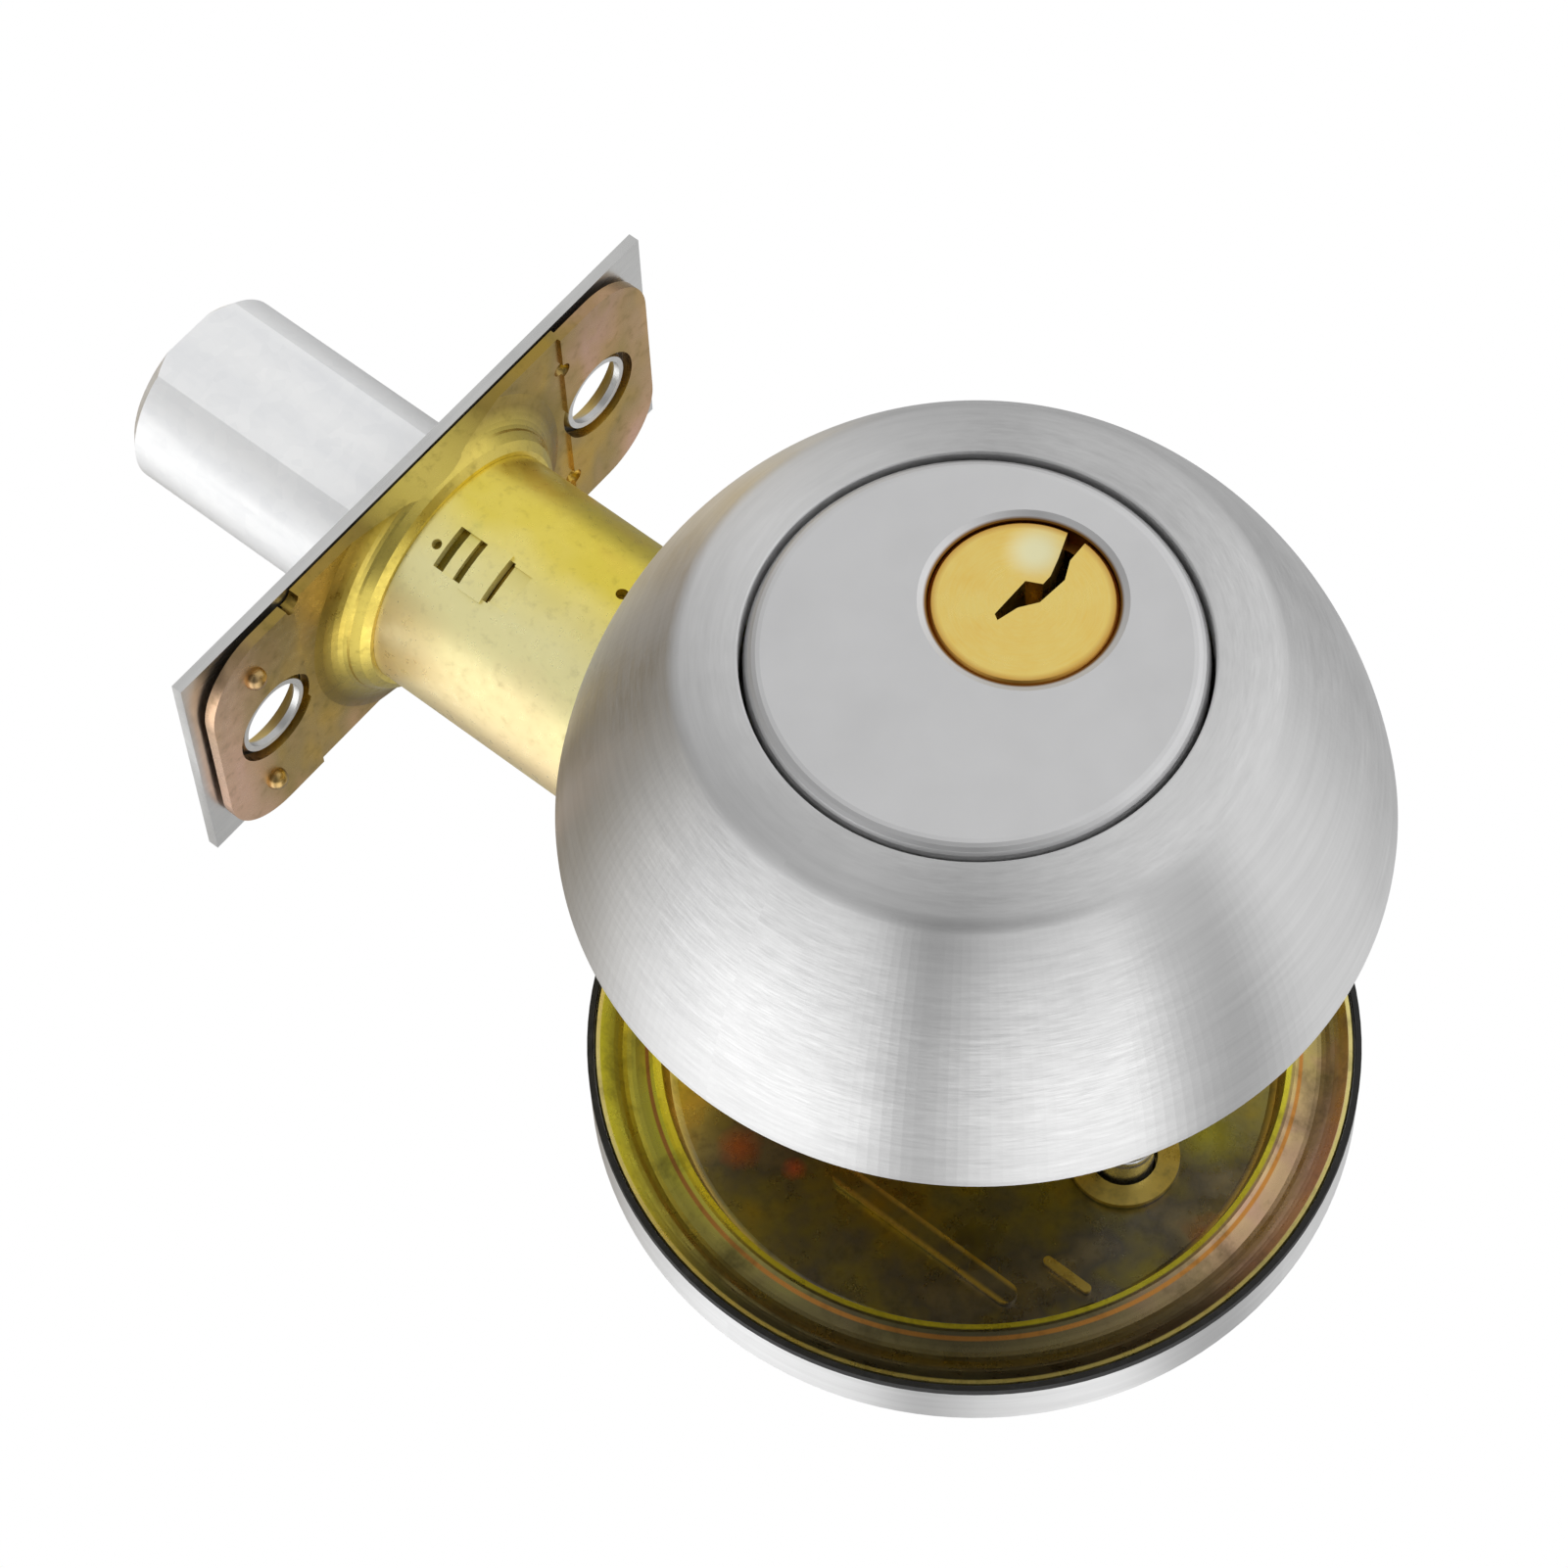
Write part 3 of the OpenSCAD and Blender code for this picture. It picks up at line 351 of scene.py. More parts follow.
def chromate(name, colors=(LEAF, STRAW, PALE, STRAW, ROSE, COPPER), pools=0.2):
    """Yellow film on zinc; pools is how much dark olive gathers in it."""
    t = Finish(name)
    tint = yellow_film(t, FILM_SCALE, colors)
    spots = t.noise(t.place, FILM_SCALE * 3.1, 5.0, 0.65)
    depth = t.span(spots, 0.75 - 0.45 * pools, 0.95 - 0.35 * pools, 0.0, min(1.0, pools * 1.6))
    return zinc_coat(t, t.mix(depth, tint, OLIVE), 0.28)


print("yellow zinc ready")

# %% [markdown]
# ## Latch tube and backplate
# These two are in plain view, so their film follows the piece. The tube is straw above, and paler below
# with a painted highlight; it is more matt there and rose at its lower edge. The backplate is brown and
# rose where it is flat, with painted shade at the foot of its drawn neck and a painted straw highlight on the
# neck round the tube.

# %% Latch tube and backplate
NECK_R, NECK_FOOT_R = 0.0130, 0.0172
AMBER, HIGHLIGHT_CREAM, PEACH, SALMON = (0.92, 0.76, 0.14), (0.99, 0.93, 0.50), (0.90, 0.62, 0.34), (0.98, 0.66, 0.52)
PLATE_FILM = (UMBER, (0.56, 0.36, 0.06), (0.42, 0.29, 0.09), (0.58, 0.36, 0.16), (0.74, 0.44, 0.34),
              (0.54, 0.38, 0.07))


def tube_zinc():
    t = Finish("tube_zinc")
    tint = yellow_film(t, 60.0, (LEAF, STRAW, AMBER, STRAW, (0.86, 0.62, 0.10)))
    level = t.math("ADD", t.split(t.place)["Z"], t.math("MULTIPLY", t.noise(t.place, 110.0), 0.006))
    # painted highlight: the lower side of the tube is mixed towards pale cream
    tint = t.mix(t.span(level, 0.0045, -0.0030, 0.0, 0.9), tint, HIGHLIGHT_CREAM)
    tint = t.mix(t.span(level, -0.0045, -0.0095, 0.0, 0.65), tint, PEACH)
    return zinc_coat(t, tint, 0.30, 0.25, t.span(level, 0.0060, -0.0010, 0.95, 0.45))


def backplate_zinc():
    t = Finish("backplate_zinc")
    radius = polar(t, "X")[0]
    part = t.split(t.place)
    tint = yellow_film(t, 75.0, PLATE_FILM)
    corner = t.math("ADD", radius, t.math("MULTIPLY", t.noise(t.place, 140.0), 0.006))
    tint = t.mix(t.span(corner, 0.027, 0.033, 0.0, 0.5), tint, (0.86, 0.54, 0.42))
    # painted shade: dark olive round the foot of the drawn neck, where it meets the flat plate
    foot = t.math("ABSOLUTE", t.math("SUBTRACT", corner, NECK_FOOT_R))
    tint = t.mix(t.span(foot, 0.0008, 0.0030, 0.75, 0.0), tint, (0.26, 0.18, 0.02))
    tint = t.mix(t.span(part["Y"], -0.004, -0.0115, 0.0, 0.55), tint, (0.30, 0.22, 0.06))
    tint = t.mix(t.span(part["Z"], -0.021, -0.026, 0.0, 0.4), tint, SALMON)
    # painted highlight: the neck round the tube is brightened towards straw
    tint = t.mix(t.span(radius, NECK_R - 0.0005, NECK_R + 0.0016, 0.7, 0.0), tint, (0.90, 0.74, 0.16))
    return zinc_coat(t, tint, 0.28, 0.45)


print("tube and backplate ready")

# %% [markdown]
# ## Cast metal and rubber
# The inside turn, the crank and the small clips have an even, grainy surface from the mould or the
# barrel, so their bump is round noise, not lines. The gasket is rubber with dust in its pores.

# %% Cast metal and rubber
PORE_SCALE, PORE_DEPTH, PORE_STAIN = 3200.0, 3e-6, (0.4, 0.4, 0.4)
DUST_SCALE, SKIN_SCALE, SKIN_DEPTH = 700.0, 3000.0, 6e-6


def cast(name, color, rough):
    t = Finish(name)
    pores = t.noise(t.place, PORE_SCALE, 3.0, 0.6)
    clouds = t.noise(t.place, 130.0, 4.0, 0.6)
    tint = t.mix(t.span(clouds, 0.35, 0.75, 0.0, 0.28), color, shade(color, 0.75))
    tint = t.mix(t.span(pores, 0.62, 0.8, 0.0, 0.3), tint, PORE_STAIN)
    t.set(Base_Color=tint, Metallic=1.0, Roughness=t.span(clouds, 0.3, 0.7, rough - 0.05, rough + 0.07))
    t.bump(pores, PORE_DEPTH)
    return t.mat


def rubber(name, color, rough=0.6):
    t = Finish(name)
    dust = t.noise(t.place, DUST_SCALE, 4.0, 0.7)
    t.set(Base_Color=t.mix(t.span(dust, 0.5, 0.8, 0.0, 0.4), color, tuple(c + 0.06 for c in color)),
          Roughness=t.span(dust, 0.3, 0.7, rough - 0.08, rough + 0.12))
    t.bump(t.noise(t.place, SKIN_SCALE, 3.0), SKIN_DEPTH)
    return t.mat


print("cast metal and rubber ready")

# %% [markdown]
# ## Brass plug
# The plug is turned from brass and polished, so its face mirrors the room in a warm gold.
# A shallow dish beside the keyway guides the key, and its glint is a painted highlight of pale gold. The edge
# is chamfered and brown. Distance from the dish and from the axis finds both.

# %% Brass plug
PLUG, PLUG_FACE_R = (0, 0, 0.0056), 0.0072
GUIDE, GUIDE_FLAT_R, GUIDE_R, GUIDE_DEPTH = (-0.0020, -0.0423, 0.0096), 0.0005, 0.0029, 7e-5
GOLD, DEEP_GOLD, RUBBED_GOLD = (1.0, 0.76, 0.21), (0.96, 0.66, 0.15), (1.0, 0.84, 0.34)
GUIDE_HIGHLIGHT_GOLD, EDGE_BROWN = (1.0, 0.97, 0.62), (0.60, 0.27, 0.04)


def plug_brass():
    t = Finish("plug_brass")
    radius, angle, height = polar(t, "Y", PLUG)
    lines = t.noise(t.join(radius, height, t.math("MULTIPLY", angle, 0.0006)), 5200.0, 3.0, 0.6)
    clouds = t.noise(t.place, 260.0, 4.0, 0.6)
    tint = t.mix(t.span(clouds, 0.30, 0.72, 0.0, 1.0), GOLD, DEEP_GOLD)
    tint = t.mix(t.span(lines, 0.3, 0.7, 0.0, 0.35), tint, RUBBED_GOLD)
    # painted highlight: pale gold in the key-guide dish; the same mask also sinks the dish in the bump
    dish_and_highlight = t.span(t.distance(t.place, GUIDE), GUIDE_FLAT_R, GUIDE_R, 1.0, 0.0, "SMOOTHSTEP")
    tint = t.mix(t.math("MULTIPLY", dish_and_highlight, 0.9), tint, GUIDE_HIGHLIGHT_GOLD)
    # brown ring at the plug's chamfered edge
    tint = t.mix(t.span(radius, PLUG_FACE_R - 0.0008, PLUG_FACE_R - 0.0002, 0.0, 0.85), tint, EDGE_BROWN)
    t.set(Base_Color=tint, Metallic=1.0, Roughness=t.span(clouds, 0.3, 0.7, 0.24, 0.36))
    t.bump(t.math("SUBTRACT", t.math("MULTIPLY", lines, 0.05), dish_and_highlight), GUIDE_DEPTH)
    return t.mat


print("brass plug ready")

# %% [markdown]
# ## Mounting plate
# The plate behind the rose is pressed steel under the same yellow film, with fine dark spots all over.
# Its sunk floor is almost black, its channel is yellow at one side, dark in the middle and rose
# at the other, and the ridge between them carries a painted highlight line with a brown line beside it.
# Painted highlights also run on the pressed bead, the bosses round the screws and the lip. Distance from the
# axis and height tell them apart.

# %% Mounting plate
RIDGE_R, LIP_R, FLOOR_STEP, BEAD_Z = 0.0267, 0.0317, 0.0030, -0.016
DARK_WAY = (0.62, -0.78)   # x and z of the way to the darkest part of the channel
# Stains on the floor: place, size, colour.
STAINS = [((-0.0097, 0.0222, -0.0193), 0.0022, (0.85, 0.26, 0.12)),
          ((-0.0049, 0.0222, -0.0179), 0.0012, (1.0, 0.25, 0.14)),
          ((0.0200, 0.0222, 0.0060), 0.0035, (0.62, 0.58, 0.06))]
# Fine rings, a painted highlight at the ridge, a brown line beside it and a painted highlight on the lip:
# radius, half width, colour.
PAINTED_EDGE_LINES = [(RIDGE_R - 0.0002, 0.00035, (0.95, 0.86, 0.08)), (RIDGE_R + 0.0008, 0.0002, (0.50, 0.22, 0.05)),
         (LIP_R, 0.00035, (0.90, 0.78, 0.30))]
FLOOR_FILM = [(0.30, (0.50, 0.36, 0.04)), (0.40, (0.34, 0.29, 0.09)), (0.50, (0.20, 0.18, 0.15)),
              (0.58, (0.33, 0.28, 0.19)), (0.66, (0.48, 0.26, 0.14)), (0.80, (0.50, 0.45, 0.08))]
CHANNEL_FILM = [(0.30, (0.80, 0.42, 0.30)), (0.40, (0.62, 0.50, 0.14)), (0.48, (0.36, 0.28, 0.12)),
                (0.56, (0.55, 0.52, 0.10)), (0.64, (0.72, 0.55, 0.18)), (0.74, (0.75, 0.40, 0.32))]


def mounting_channel(t, flow, part, height, front_y):
    dark = t.math("ADD", t.math("MULTIPLY", part["X"], DARK_WAY[0]),
                  t.math("MULTIPLY", part["Z"], DARK_WAY[1]))
    tint = t.ramp(flow, CHANNEL_FILM)
    tint = t.mix(t.span(part["X"], 0.005, -0.016, 0.0, 0.85), tint, (1.0, 0.92, 0.05))
    tint = t.mix(t.span(part["X"], 0.0220, 0.0290, 0.0, 0.75), tint, (0.88, 0.50, 0.42))
    tint = t.mix(t.span(dark, 0.0165, 0.0250, 0.0, 0.9), tint, (0.11, 0.10, 0.06))
    return t.mix(t.span(height, front_y + 0.0001, front_y + 0.0011, 0.0, 0.55), tint, (0.22, 0.17, 0.07))


def mounting_floor(t, flow, fine, part, height, floor_y):
    tint = t.ramp(flow, FLOOR_FILM)
    tint = t.mix(t.span(part["X"], -0.010, -0.020, 0.0, 0.85), tint, (0.85, 0.66, 0.02))
    for spot, size, color in STAINS:
        off = t.math("ADD", t.distance(t.place, spot), t.math("MULTIPLY", fine, size))
        tint = t.mix(t.span(off, size * 0.5, size * 1.5, 0.8, 0.0), tint, color)
    # painted highlight: raised parts of the floor, the bead and the bosses, are brightened, except within
    # about half a millimetre of BEAD_Z
    raised = t.span(height, floor_y - 0.0001, floor_y - 0.0005, 0.0, 0.9)
    bead_highlight = t.span(t.math("ABSOLUTE", t.math("SUBTRACT", part["Z"], BEAD_Z)), 0.0005, 0.0008, 0.0, 1.0)
    return t.mix(t.math("MULTIPLY", raised, bead_highlight), tint, (0.86, 0.64, 0.16))


def mounting_zinc():
    t = Finish("mounting_zinc")
    radius, _, height = polar(t, "Y")
    part = t.split(t.place)
    front_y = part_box("mounting_plate")[0][1]
    flow = t.noise(t.place, 70.0, 4.0, 0.6)
    fine = t.noise(t.place, 260.0, 5.0, 0.7)
    tint = t.mix(t.span(radius, RIDGE_R - 0.0006, RIDGE_R - 0.0002, 0.0, 1.0),
                 mounting_floor(t, flow, fine, part, height, front_y + FLOOR_STEP),
                 mounting_channel(t, flow, part, height, front_y))
    # painted highlights at the ridge and the lip, and a brown line beside the ridge
    for ring_r, half_w, color in PAINTED_EDGE_LINES:
        off = t.math("ABSOLUTE", t.math("SUBTRACT", radius, ring_r))
        tint = t.mix(t.span(off, half_w * 0.6, half_w, 1.0, 0.0), tint, color)
    tint = t.mix(t.span(fine, 0.52, 0.75, 0.0, 0.6), tint, (0.06, 0.05, 0.02))
    t.set(Base_Color=tint, Metallic=1.0, Roughness=t.span(fine, 0.3, 0.7, 0.20, 0.42))
    t.bump(t.math("ADD", fine, t.noise(t.place, 2400.0, 2.0)), 6e-6)
    return t.mat


print("mounting plate ready")

# %% [markdown]
# ## Cylinder face and bolt
# The cylinder's face is a satin casting with a dark brown ring round the plug's bore; distance from
# the plug's axis finds that ring. The bolt is bright zinc: almost white, faintly mottled, with
# slow streaks along its travel.

# %% Cylinder face and bolt
SATIN, SATIN_CLOUD, BORE_RING_BROWN = (0.76, 0.76, 0.765), (0.68, 0.68, 0.685), (0.26, 0.12, 0.02)
ZINC, ZINC_STREAK, SPANGLE = (0.98, 0.985, 0.99), (0.90, 0.91, 0.93), (0.72, 0.74, 0.77)


def housing_satin():
    t = Finish("housing_satin")
    radius = polar(t, "Y", PLUG)[0]
    clouds = t.noise(t.place, 130.0, 4.0, 0.6)
    tint = t.mix(t.span(clouds, 0.35, 0.75, 0.0, 0.2), SATIN, SATIN_CLOUD)
    # dark brown ring round the plug's bore, at the gap beside the plug
    tint = t.mix(t.span(radius, PLUG_FACE_R + 0.00015, PLUG_FACE_R + 0.00035, 1.0, 0.0), tint, BORE_RING_BROWN)
    t.set(Base_Color=tint, Metallic=1.0, Roughness=t.span(clouds, 0.3, 0.7, 0.38, 0.50))
    t.bump(t.noise(t.place, PORE_SCALE, 3.0, 0.6), PORE_DEPTH)
    return t.mat


def bolt_zinc():
    t = Finish("bolt_zinc")
    streaks = t.noise(t.vector("MULTIPLY", t.place, (0.12, 1, 1)), 420.0, 4.0, 0.55)
    spangle = t.split(t.add("ShaderNodeTexVoronoi", None, Vector=t.place, Scale=900.0).outputs["Color"])["X"]
    tint = t.mix(t.span(streaks, 0.35, 0.7, 0.0, 0.7), ZINC, ZINC_STREAK)
    tint = t.mix(t.math("MULTIPLY", spangle, 0.16), tint, SPANGLE)
    t.set(Base_Color=tint, Metallic=0.55, Roughness=t.span(streaks, 0.3, 0.7, 0.42, 0.58))
    t.bump(t.math("ADD", streaks, t.noise(t.place, 2600.0)), 4e-6)
    return t.mat


print("cylinder face and bolt ready")

# %% [markdown]
# ## Which node takes which finish
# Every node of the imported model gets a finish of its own, named after the piece and its material.
# The brushed steel of the collar and the rose is the same; each of the pins, pivots and clips inside
# has the plain look of its metal, since a real lock's workings are left as the machines made them.

# %% Which node takes which finish
BRUSHED = dict(color=(0.84, 0.84, 0.84), rough=0.38, kind="turned Y", spread=0.95, dark=0.95, streaks=0.10)
finishes = {
    "collar": lined("collar_brushed", **BRUSHED),
    "rose_shell": lined("rose_brushed", **BRUSHED),
    "cylinder_housing": housing_satin(),
    "collar_support": chromate("support_zinc", (STRAW, PALE, (0.90, 0.78, 0.30), PALE, ROSE), pools=0.1),
    "chamber_cap": cast("cap_brass", (0.80, 0.62, 0.30), 0.35),
    "key_plug": plug_brass(),
    "plug_clip": cast("plug_clip_steel", (0.16, 0.16, 0.17), 0.45),
    "tailpiece": lined("tailpiece_steel", (0.66, 0.66, 0.66), 0.34, "along Z"),
    "key_pins": cast("key_pin_brass", (0.82, 0.64, 0.32), 0.25),
    "driver_pins": cast("driver_pin_nickel", (0.72, 0.70, 0.66), 0.25),
    "pin_springs": cast("pin_spring_steel", (0.62, 0.62, 0.63), 0.28),
    "faceplate": lined("faceplate_brushed", (0.78, 0.78, 0.77), 0.30, "along Z"),
    "backplate": backplate_zinc(),
    "latch_tube": tube_zinc(),
    "inner_sleeve": chromate("sleeve_zinc", (UMBER, OLIVE, UMBER), pools=0.5),
    "tube_cap": chromate("tube_cap_zinc"),
    "tail_side_front": chromate("side_front_zinc"),
    "tail_side_back": chromate("side_back_zinc"),
    "tail_spacers": lined("spacer_steel", (0.68, 0.68, 0.68), 0.30, "turned Y"),
    "hub_spring": cast("spring_blue_steel", (0.20, 0.23, 0.32), 0.28),
    "bolt": bolt_zinc(),
    "bolt_insert": cast("insert_hard_steel", (0.13, 0.13, 0.14), 0.40),
    "bolt_bar": lined("bar_steel", (0.66, 0.65, 0.62), 0.32, "along X"),
    "bolt_bar_pin": lined("bar_pin_steel", (0.5, 0.5, 0.5), 0.3, "turned Y"),
    "crank": cast("crank_zinc", (0.70, 0.62, 0.38), 0.38),
    "crank_pin": lined("crank_pin_steel", (0.62, 0.62, 0.62), 0.25, "turned Y"),
    "mounting_plate": mounting_zinc(),
    "rose_gasket": rubber("gasket_rubber", (0.012, 0.012, 0.012)),
    "screw_spacers": lined("tube_spacer_steel", (0.66, 0.66, 0.66), 0.3, "turned Y"),
    "mounting_screws": lined("screw_zinc", (0.70, 0.71, 0.73), 0.28, "turned Y"),
    "thumbturn": cast("turn_satin", (0.72, 0.72, 0.72), 0.33),
    "thumbturn_bush": rubber("bush_plastic", (0.70, 0.69, 0.64), 0.45),
    "thumbturn_washer": lined("washer_steel", (0.6, 0.6, 0.6), 0.3, "turned Y"),
    "thumbturn_clip": cast("turn_clip_steel", (0.16, 0.16, 0.17), 0.45),
}
for name, finish in finishes.items():
    mesh = nodes[name].data
    mesh.materials.clear()
    mesh.materials.append(finish)
print("finishes:", len(finishes), "nodes without one:", sorted(set(nodes) - set(finishes)))

# %% [markdown]
# ## Shapes from Geometry Nodes
# A lathe and a thread both follow a rule, so a node tree makes them from a few named sizes.
# `Shape` builds such a tree with the same helpers as the finishes. `grown` puts the tree on an
# object, sets its sizes, and bakes the result to a plain mesh, because an export drops instances.

# %% Geometry helpers
SHARP_ANGLE, SAME_POINT = 0.6, 1e-7


class Shape(Tree):
    def __init__(self, name, **sizes):
        self.tree = bpy.data.node_groups.new(name, "GeometryNodeTree")
        super().__init__(self.tree)
        sockets = self.tree.interface
        sockets.new_socket("Geometry", in_out="INPUT", socket_type="NodeSocketGeometry")
        sockets.new_socket("Geometry", in_out="OUTPUT", socket_type="NodeSocketGeometry")
        for key, kind in {**sizes, "Finish": "Material"}.items():
            sockets.new_socket(key.replace("_", " "), in_out="INPUT", socket_type="NodeSocket" + kind)
        self.given = self.add("NodeGroupInput").outputs

    def finish_with(self, geometry):
        """Sharp edges where faces meet at a clear angle, then plain mesh, then its finish."""
        bend = self.add("GeometryNodeInputMeshEdgeAngle").outputs["Unsigned Angle"]
        edge = self.add("FunctionNodeCompare", {"operation": "GREATER_THAN"}, A=bend, B=SHARP_ANGLE)
        smooth = self.add("GeometryNodeSetShadeSmooth", {"domain": "EDGE"}, Geometry=geometry,
                          Selection=edge.outputs["Result"], Shade_Smooth=False).outputs[0]
        plain = self.add("GeometryNodeRealizeInstances", None, Geometry=smooth).outputs[0]
        done = self.add("GeometryNodeSetMaterial", None, Geometry=plain,
                        Material=self.given["Finish"]).outputs[0]
        self.links.new(done, self.add("NodeGroupOutput").inputs[0])


def piece_of(name, points=()):
    mesh = bpy.data.meshes.new(name)
    mesh.from_pydata([Vector(p) for p in points], [], [])
    obj = bpy.data.objects.new(name, mesh)
    scene.collection.objects.link(obj)
    return obj


def baked(obj):
    """The object with its modifiers turned into a plain mesh, doubles merged and faces outwards."""
    mesh = bpy.data.meshes.new_from_object(obj.evaluated_get(bpy.context.evaluated_depsgraph_get()))
    obj.modifiers.clear()
    obj.data = mesh
    shape = bmesh.new()
    shape.from_mesh(mesh)
    bmesh.ops.remove_doubles(shape, verts=shape.verts, dist=SAME_POINT)
    bmesh.ops.recalc_face_normals(shape, faces=shape.faces)
    shape.to_mesh(mesh)
    shape.free()
    mesh.name = obj.name
    return obj


def grown(obj, shape, **sizes):
    """The object with a shape's tree grown on it, at these sizes."""
    mod = obj.modifiers.new("nodes", "NODES")
    mod.node_group = shape.tree
    items = shape.tree.interface.items_tree
    sockets = {item.name: item.identifier for item in items if item.in_out == "INPUT"}
    for key, value in sizes.items():
        mod[sockets[key.replace("_", " ")]] = value
    return baked(obj)


print("geometry helpers ready")

# %% [markdown]
# ## Collar
# The collar is drawn from sheet and spun: a narrow upright rim, a side that bows out a little, a small
# round turn, a gently falling crown and a rolled mouth round the cylinder. A lathe tree turns
# any such profile round the lock's axis in many steps, so the brushed side has no facets.

# %% Lathe tree
def lathe():
    t = Shape("lathe", Profile_Points="Int", Steps="Int")
    across = t.math("ADD", t.given["Steps"], 1.0)
    grid = t.add("GeometryNodeMeshGrid", None, Size_X=1.0, Size_Y=1.0, Vertices_X=t.given["Profile Points"],
                 Vertices_Y=across).outputs["Mesh"]
    index = t.add("GeometryNodeInputIndex").outputs[0]
    step = t.math("MODULO", index, across)
    row = t.math("FLOOR", t.math("DIVIDE", t.math("ADD", index, 0.5), across))
    at = t.add("GeometryNodeSampleIndex", {"data_type": "FLOAT_VECTOR"}, Geometry=t.given["Geometry"],
               Value=t.add("GeometryNodeInputPosition").outputs[0], Index=row).outputs["Value"]
    turn = t.math("MULTIPLY", t.math("DIVIDE", step, t.given["Steps"]), 2 * math.pi)
    place = t.add("ShaderNodeVectorRotate", {"rotation_type": "Y_AXIS"}, Vector=at, Angle=turn).outputs[0]
    spun = t.add("GeometryNodeSetPosition", None, Geometry=grid, Position=place).outputs[0]
    joined = t.add("GeometryNodeMergeByDistance", None, Geometry=spun, Distance=SAME_POINT).outputs[0]
    t.finish_with(joined)
    return t


def arc(centre, radius, first, last, parts):
    """Points along an arc, with angles in degrees."""
    turns = [math.radians(first + (last - first) * i / parts) for i in range(parts + 1)]
    return [(centre[0] + radius * math.cos(a), centre[1] + radius * math.sin(a)) for a in turns]


lathe_tree = lathe()
print("lathe nodes:", len(lathe_tree.nodes))

# %% [markdown]
# The outline is drawn in millimetres as (radius, height above the door). Its side is an arc through
# the rim and the turn, bowed out by a known height; the turn and the crown are arcs that meet it
# without a corner. The inside follows the side at the wall's thickness, and is plain where it is hidden.

# %% Collar
RIM_R, FACE_R, DEPTH, BOW, WALL = 32.7, 23.2, 23.2, 1.5, 1.2
RIM_BAND, RIM_ROUND, MOUTH_R, MOUTH_ROUND, MOUTH_DEPTH, TURN_ROUND = 0.8, 0.15, 17.75, 0.2, 2.6, 2.2
CROWN, SIDE = 75.0, 39.0   # degrees from level where the crown and the side meet the round turn
STEPS_ROUND, SIDE_STEPS, TURN_STEPS, CROWN_STEPS, MOUTH_STEPS, UNDER_STEPS = 240, 30, 12, 10, 5, 24
TURN_START, CROWN_START, MOUTH_START = SIDE + 3, CROWN + 1.5, 105   # past the arc before, in degrees


def collar_profile(foot):
    """Outline of the collar's wall as (radius, height), from the rim up, over the mouth and back inside."""
    cos, sin = (lambda a: math.cos(math.radians(a))), (lambda a: math.sin(math.radians(a)))
    top = foot + DEPTH
    crown_r = (FACE_R - TURN_ROUND * (cos(SIDE) - cos(CROWN)) - MOUTH_R - MOUTH_ROUND) / cos(CROWN)
    crown_c = Vector((MOUTH_R + MOUTH_ROUND, top - crown_r))
    turn_c = crown_c + (crown_r - TURN_ROUND) * Vector((cos(CROWN), sin(CROWN)))
    high, low = turn_c + TURN_ROUND * Vector((cos(SIDE), sin(SIDE))), Vector((RIM_R, foot + RIM_BAND))
    chord = (high - low).length
    side_r = chord * chord / 8 / BOW + BOW / 2
    tilt = math.degrees(math.atan2(low.x - high.x, high.y - low.y))
    half = math.degrees(math.asin(chord / 2 / side_r))
    side_c = (high + low) / 2 - (side_r - BOW) * Vector((cos(tilt), sin(tilt)))
    outside = [(RIM_R - RIM_ROUND, foot), (RIM_R, foot + RIM_ROUND)]
    outside += arc(side_c, side_r, tilt - half, tilt + half, SIDE_STEPS)
    outside += arc(turn_c, TURN_ROUND, TURN_START, CROWN, TURN_STEPS)
    outside += arc(crown_c, crown_r, CROWN_START, 90, CROWN_STEPS)
    outside += arc((MOUTH_R + MOUTH_ROUND, top - MOUTH_ROUND), MOUTH_ROUND, MOUTH_START, 180, MOUTH_STEPS)
    under = arc(side_c, side_r - WALL, tilt + half, tilt - half, UNDER_STEPS)
    mouth_foot = top - MOUTH_DEPTH
    inside = [(MOUTH_R, mouth_foot), (MOUTH_R + WALL, mouth_foot), (MOUTH_R + WALL, under[0][1])] + under
    return outside + inside + [(under[-1][0], foot)]


door_face = -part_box("collar")[1][1] * 1000
outline = collar_profile(door_face)
outline.append(outline[0])
collar = piece_of("collar_turned", [(r / 1000, -z / 1000, 0) for r, z in outline])
grown(collar, lathe_tree, Profile_Points=len(outline), Steps=STEPS_ROUND, Finish=finishes["collar"])
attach(collar, "lock_frame")
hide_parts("collar")

# %% [markdown]
# ## Screw threads
# Two long screws cross the door and pull both roses together. The part's drawing keeps them plain;
# here a spiral with a small diamond section winds round each shank where it shows in the gap.
# One tree makes the spiral once and places it on a point for each screw.

# %% Screw threads
SCREW_X, SCREW_R, PITCH, RIDGE, SUNK, END_GAP = 0.016, 0.0025, 0.0008, 0.00022, 0.0001, 0.0002
STEPS_PER_TURN, SECTION_SIDES = 24, 4


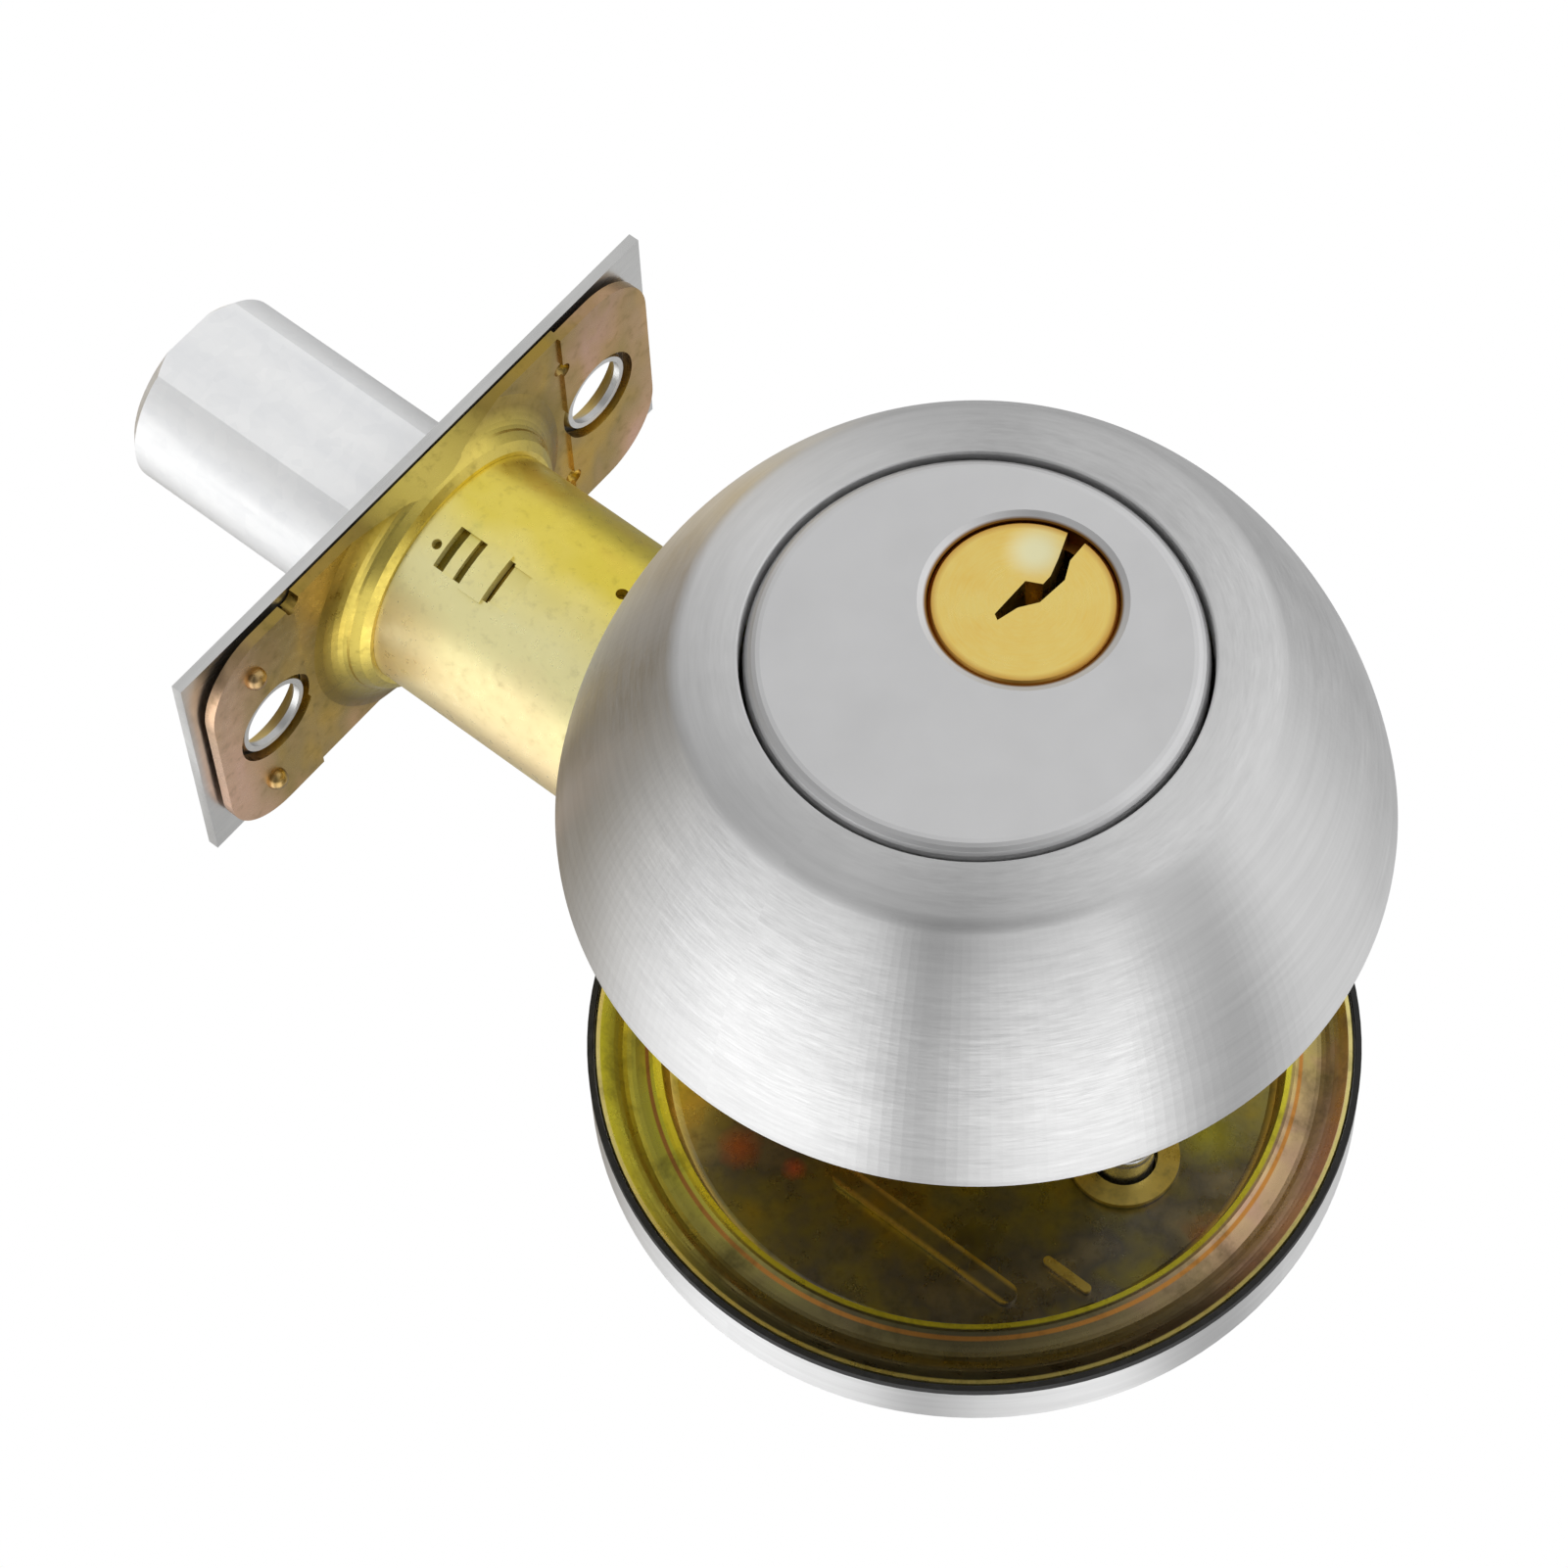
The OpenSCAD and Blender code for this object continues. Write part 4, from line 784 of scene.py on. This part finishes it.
def thread_shape():
    t = Shape("thread", Radius="Float", Length="Float", Pitch="Float", Ridge="Float")
    turns = t.math("DIVIDE", t.given["Length"], t.given["Pitch"])
    spiral = t.add("GeometryNodeCurveSpiral", None, Resolution=STEPS_PER_TURN, Rotations=turns,
                   Start_Radius=t.given["Radius"], End_Radius=t.given["Radius"],
                   Height=t.given["Length"]).outputs[0]
    section = t.add("GeometryNodeCurvePrimitiveCircle", {"mode": "RADIUS"}, Resolution=SECTION_SIDES,
                    Radius=t.given["Ridge"]).outputs["Curve"]
    wound = t.add("GeometryNodeCurveToMesh", None, Curve=spiral, Profile_Curve=section,
                  Fill_Caps=True).outputs[0]
    laid = t.add("GeometryNodeTransform", None, Geometry=wound, Rotation=(-math.pi / 2, 0, 0)).outputs[0]
    spots = t.add("GeometryNodeInstanceOnPoints", None, Points=t.given["Geometry"], Instance=laid).outputs[0]
    t.finish_with(t.add("GeometryNodeRealizeInstances", None, Geometry=spots).outputs[0])
    return t


near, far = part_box("cylinder_housing")[1][1] + END_GAP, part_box("mounting_plate")[0][1] - END_GAP
threads = piece_of("screw_threads", [(-SCREW_X, near, 0), (SCREW_X, near, 0)])
grown(threads, thread_shape(), Radius=SCREW_R - SUNK, Length=far - near, Pitch=PITCH, Ridge=RIDGE,
      Finish=finishes["mounting_screws"])
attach(threads, "lock_frame")
print("threads:", len(threads.data.polygons), "faces from y", round(near, 4), "to", round(far, 4))

# %% [markdown]
# ## Thumbturn
# The inside turn is a casting, so its edges are soft. The drawing's shape is copied, its triangles
# are joined back into flat faces, and a bevel rounds every edge that is not part of a curve.

# %% Thumbturn
EDGE_ROUND, ROUND_STEPS, FLAT_ANGLE, EDGE_ANGLE, WELD = 0.0009, 4, math.radians(1.0), math.radians(40), 2e-6


def softened(name, node):
    obj = piece_of(name)
    obj.data = nodes[node].data.copy()
    obj.data.name = name
    shape = bmesh.new()
    shape.from_mesh(obj.data)
    bmesh.ops.remove_doubles(shape, verts=shape.verts, dist=WELD)
    bmesh.ops.dissolve_limit(shape, angle_limit=FLAT_ANGLE, verts=shape.verts, edges=shape.edges)
    shape.to_mesh(obj.data)
    shape.free()
    bevel = obj.modifiers.new("soft edges", "BEVEL")
    bevel.width, bevel.segments = EDGE_ROUND, ROUND_STEPS
    bevel.limit_method, bevel.angle_limit = "ANGLE", EDGE_ANGLE
    baked(obj)
    for face in obj.data.polygons:
        face.use_smooth = True
    return obj


turn_piece = softened("thumbturn_cast", "thumbturn")
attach(turn_piece, "inside_turn")
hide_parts("thumbturn")
print("thumbturn:", len(turn_piece.data.polygons), "faces")
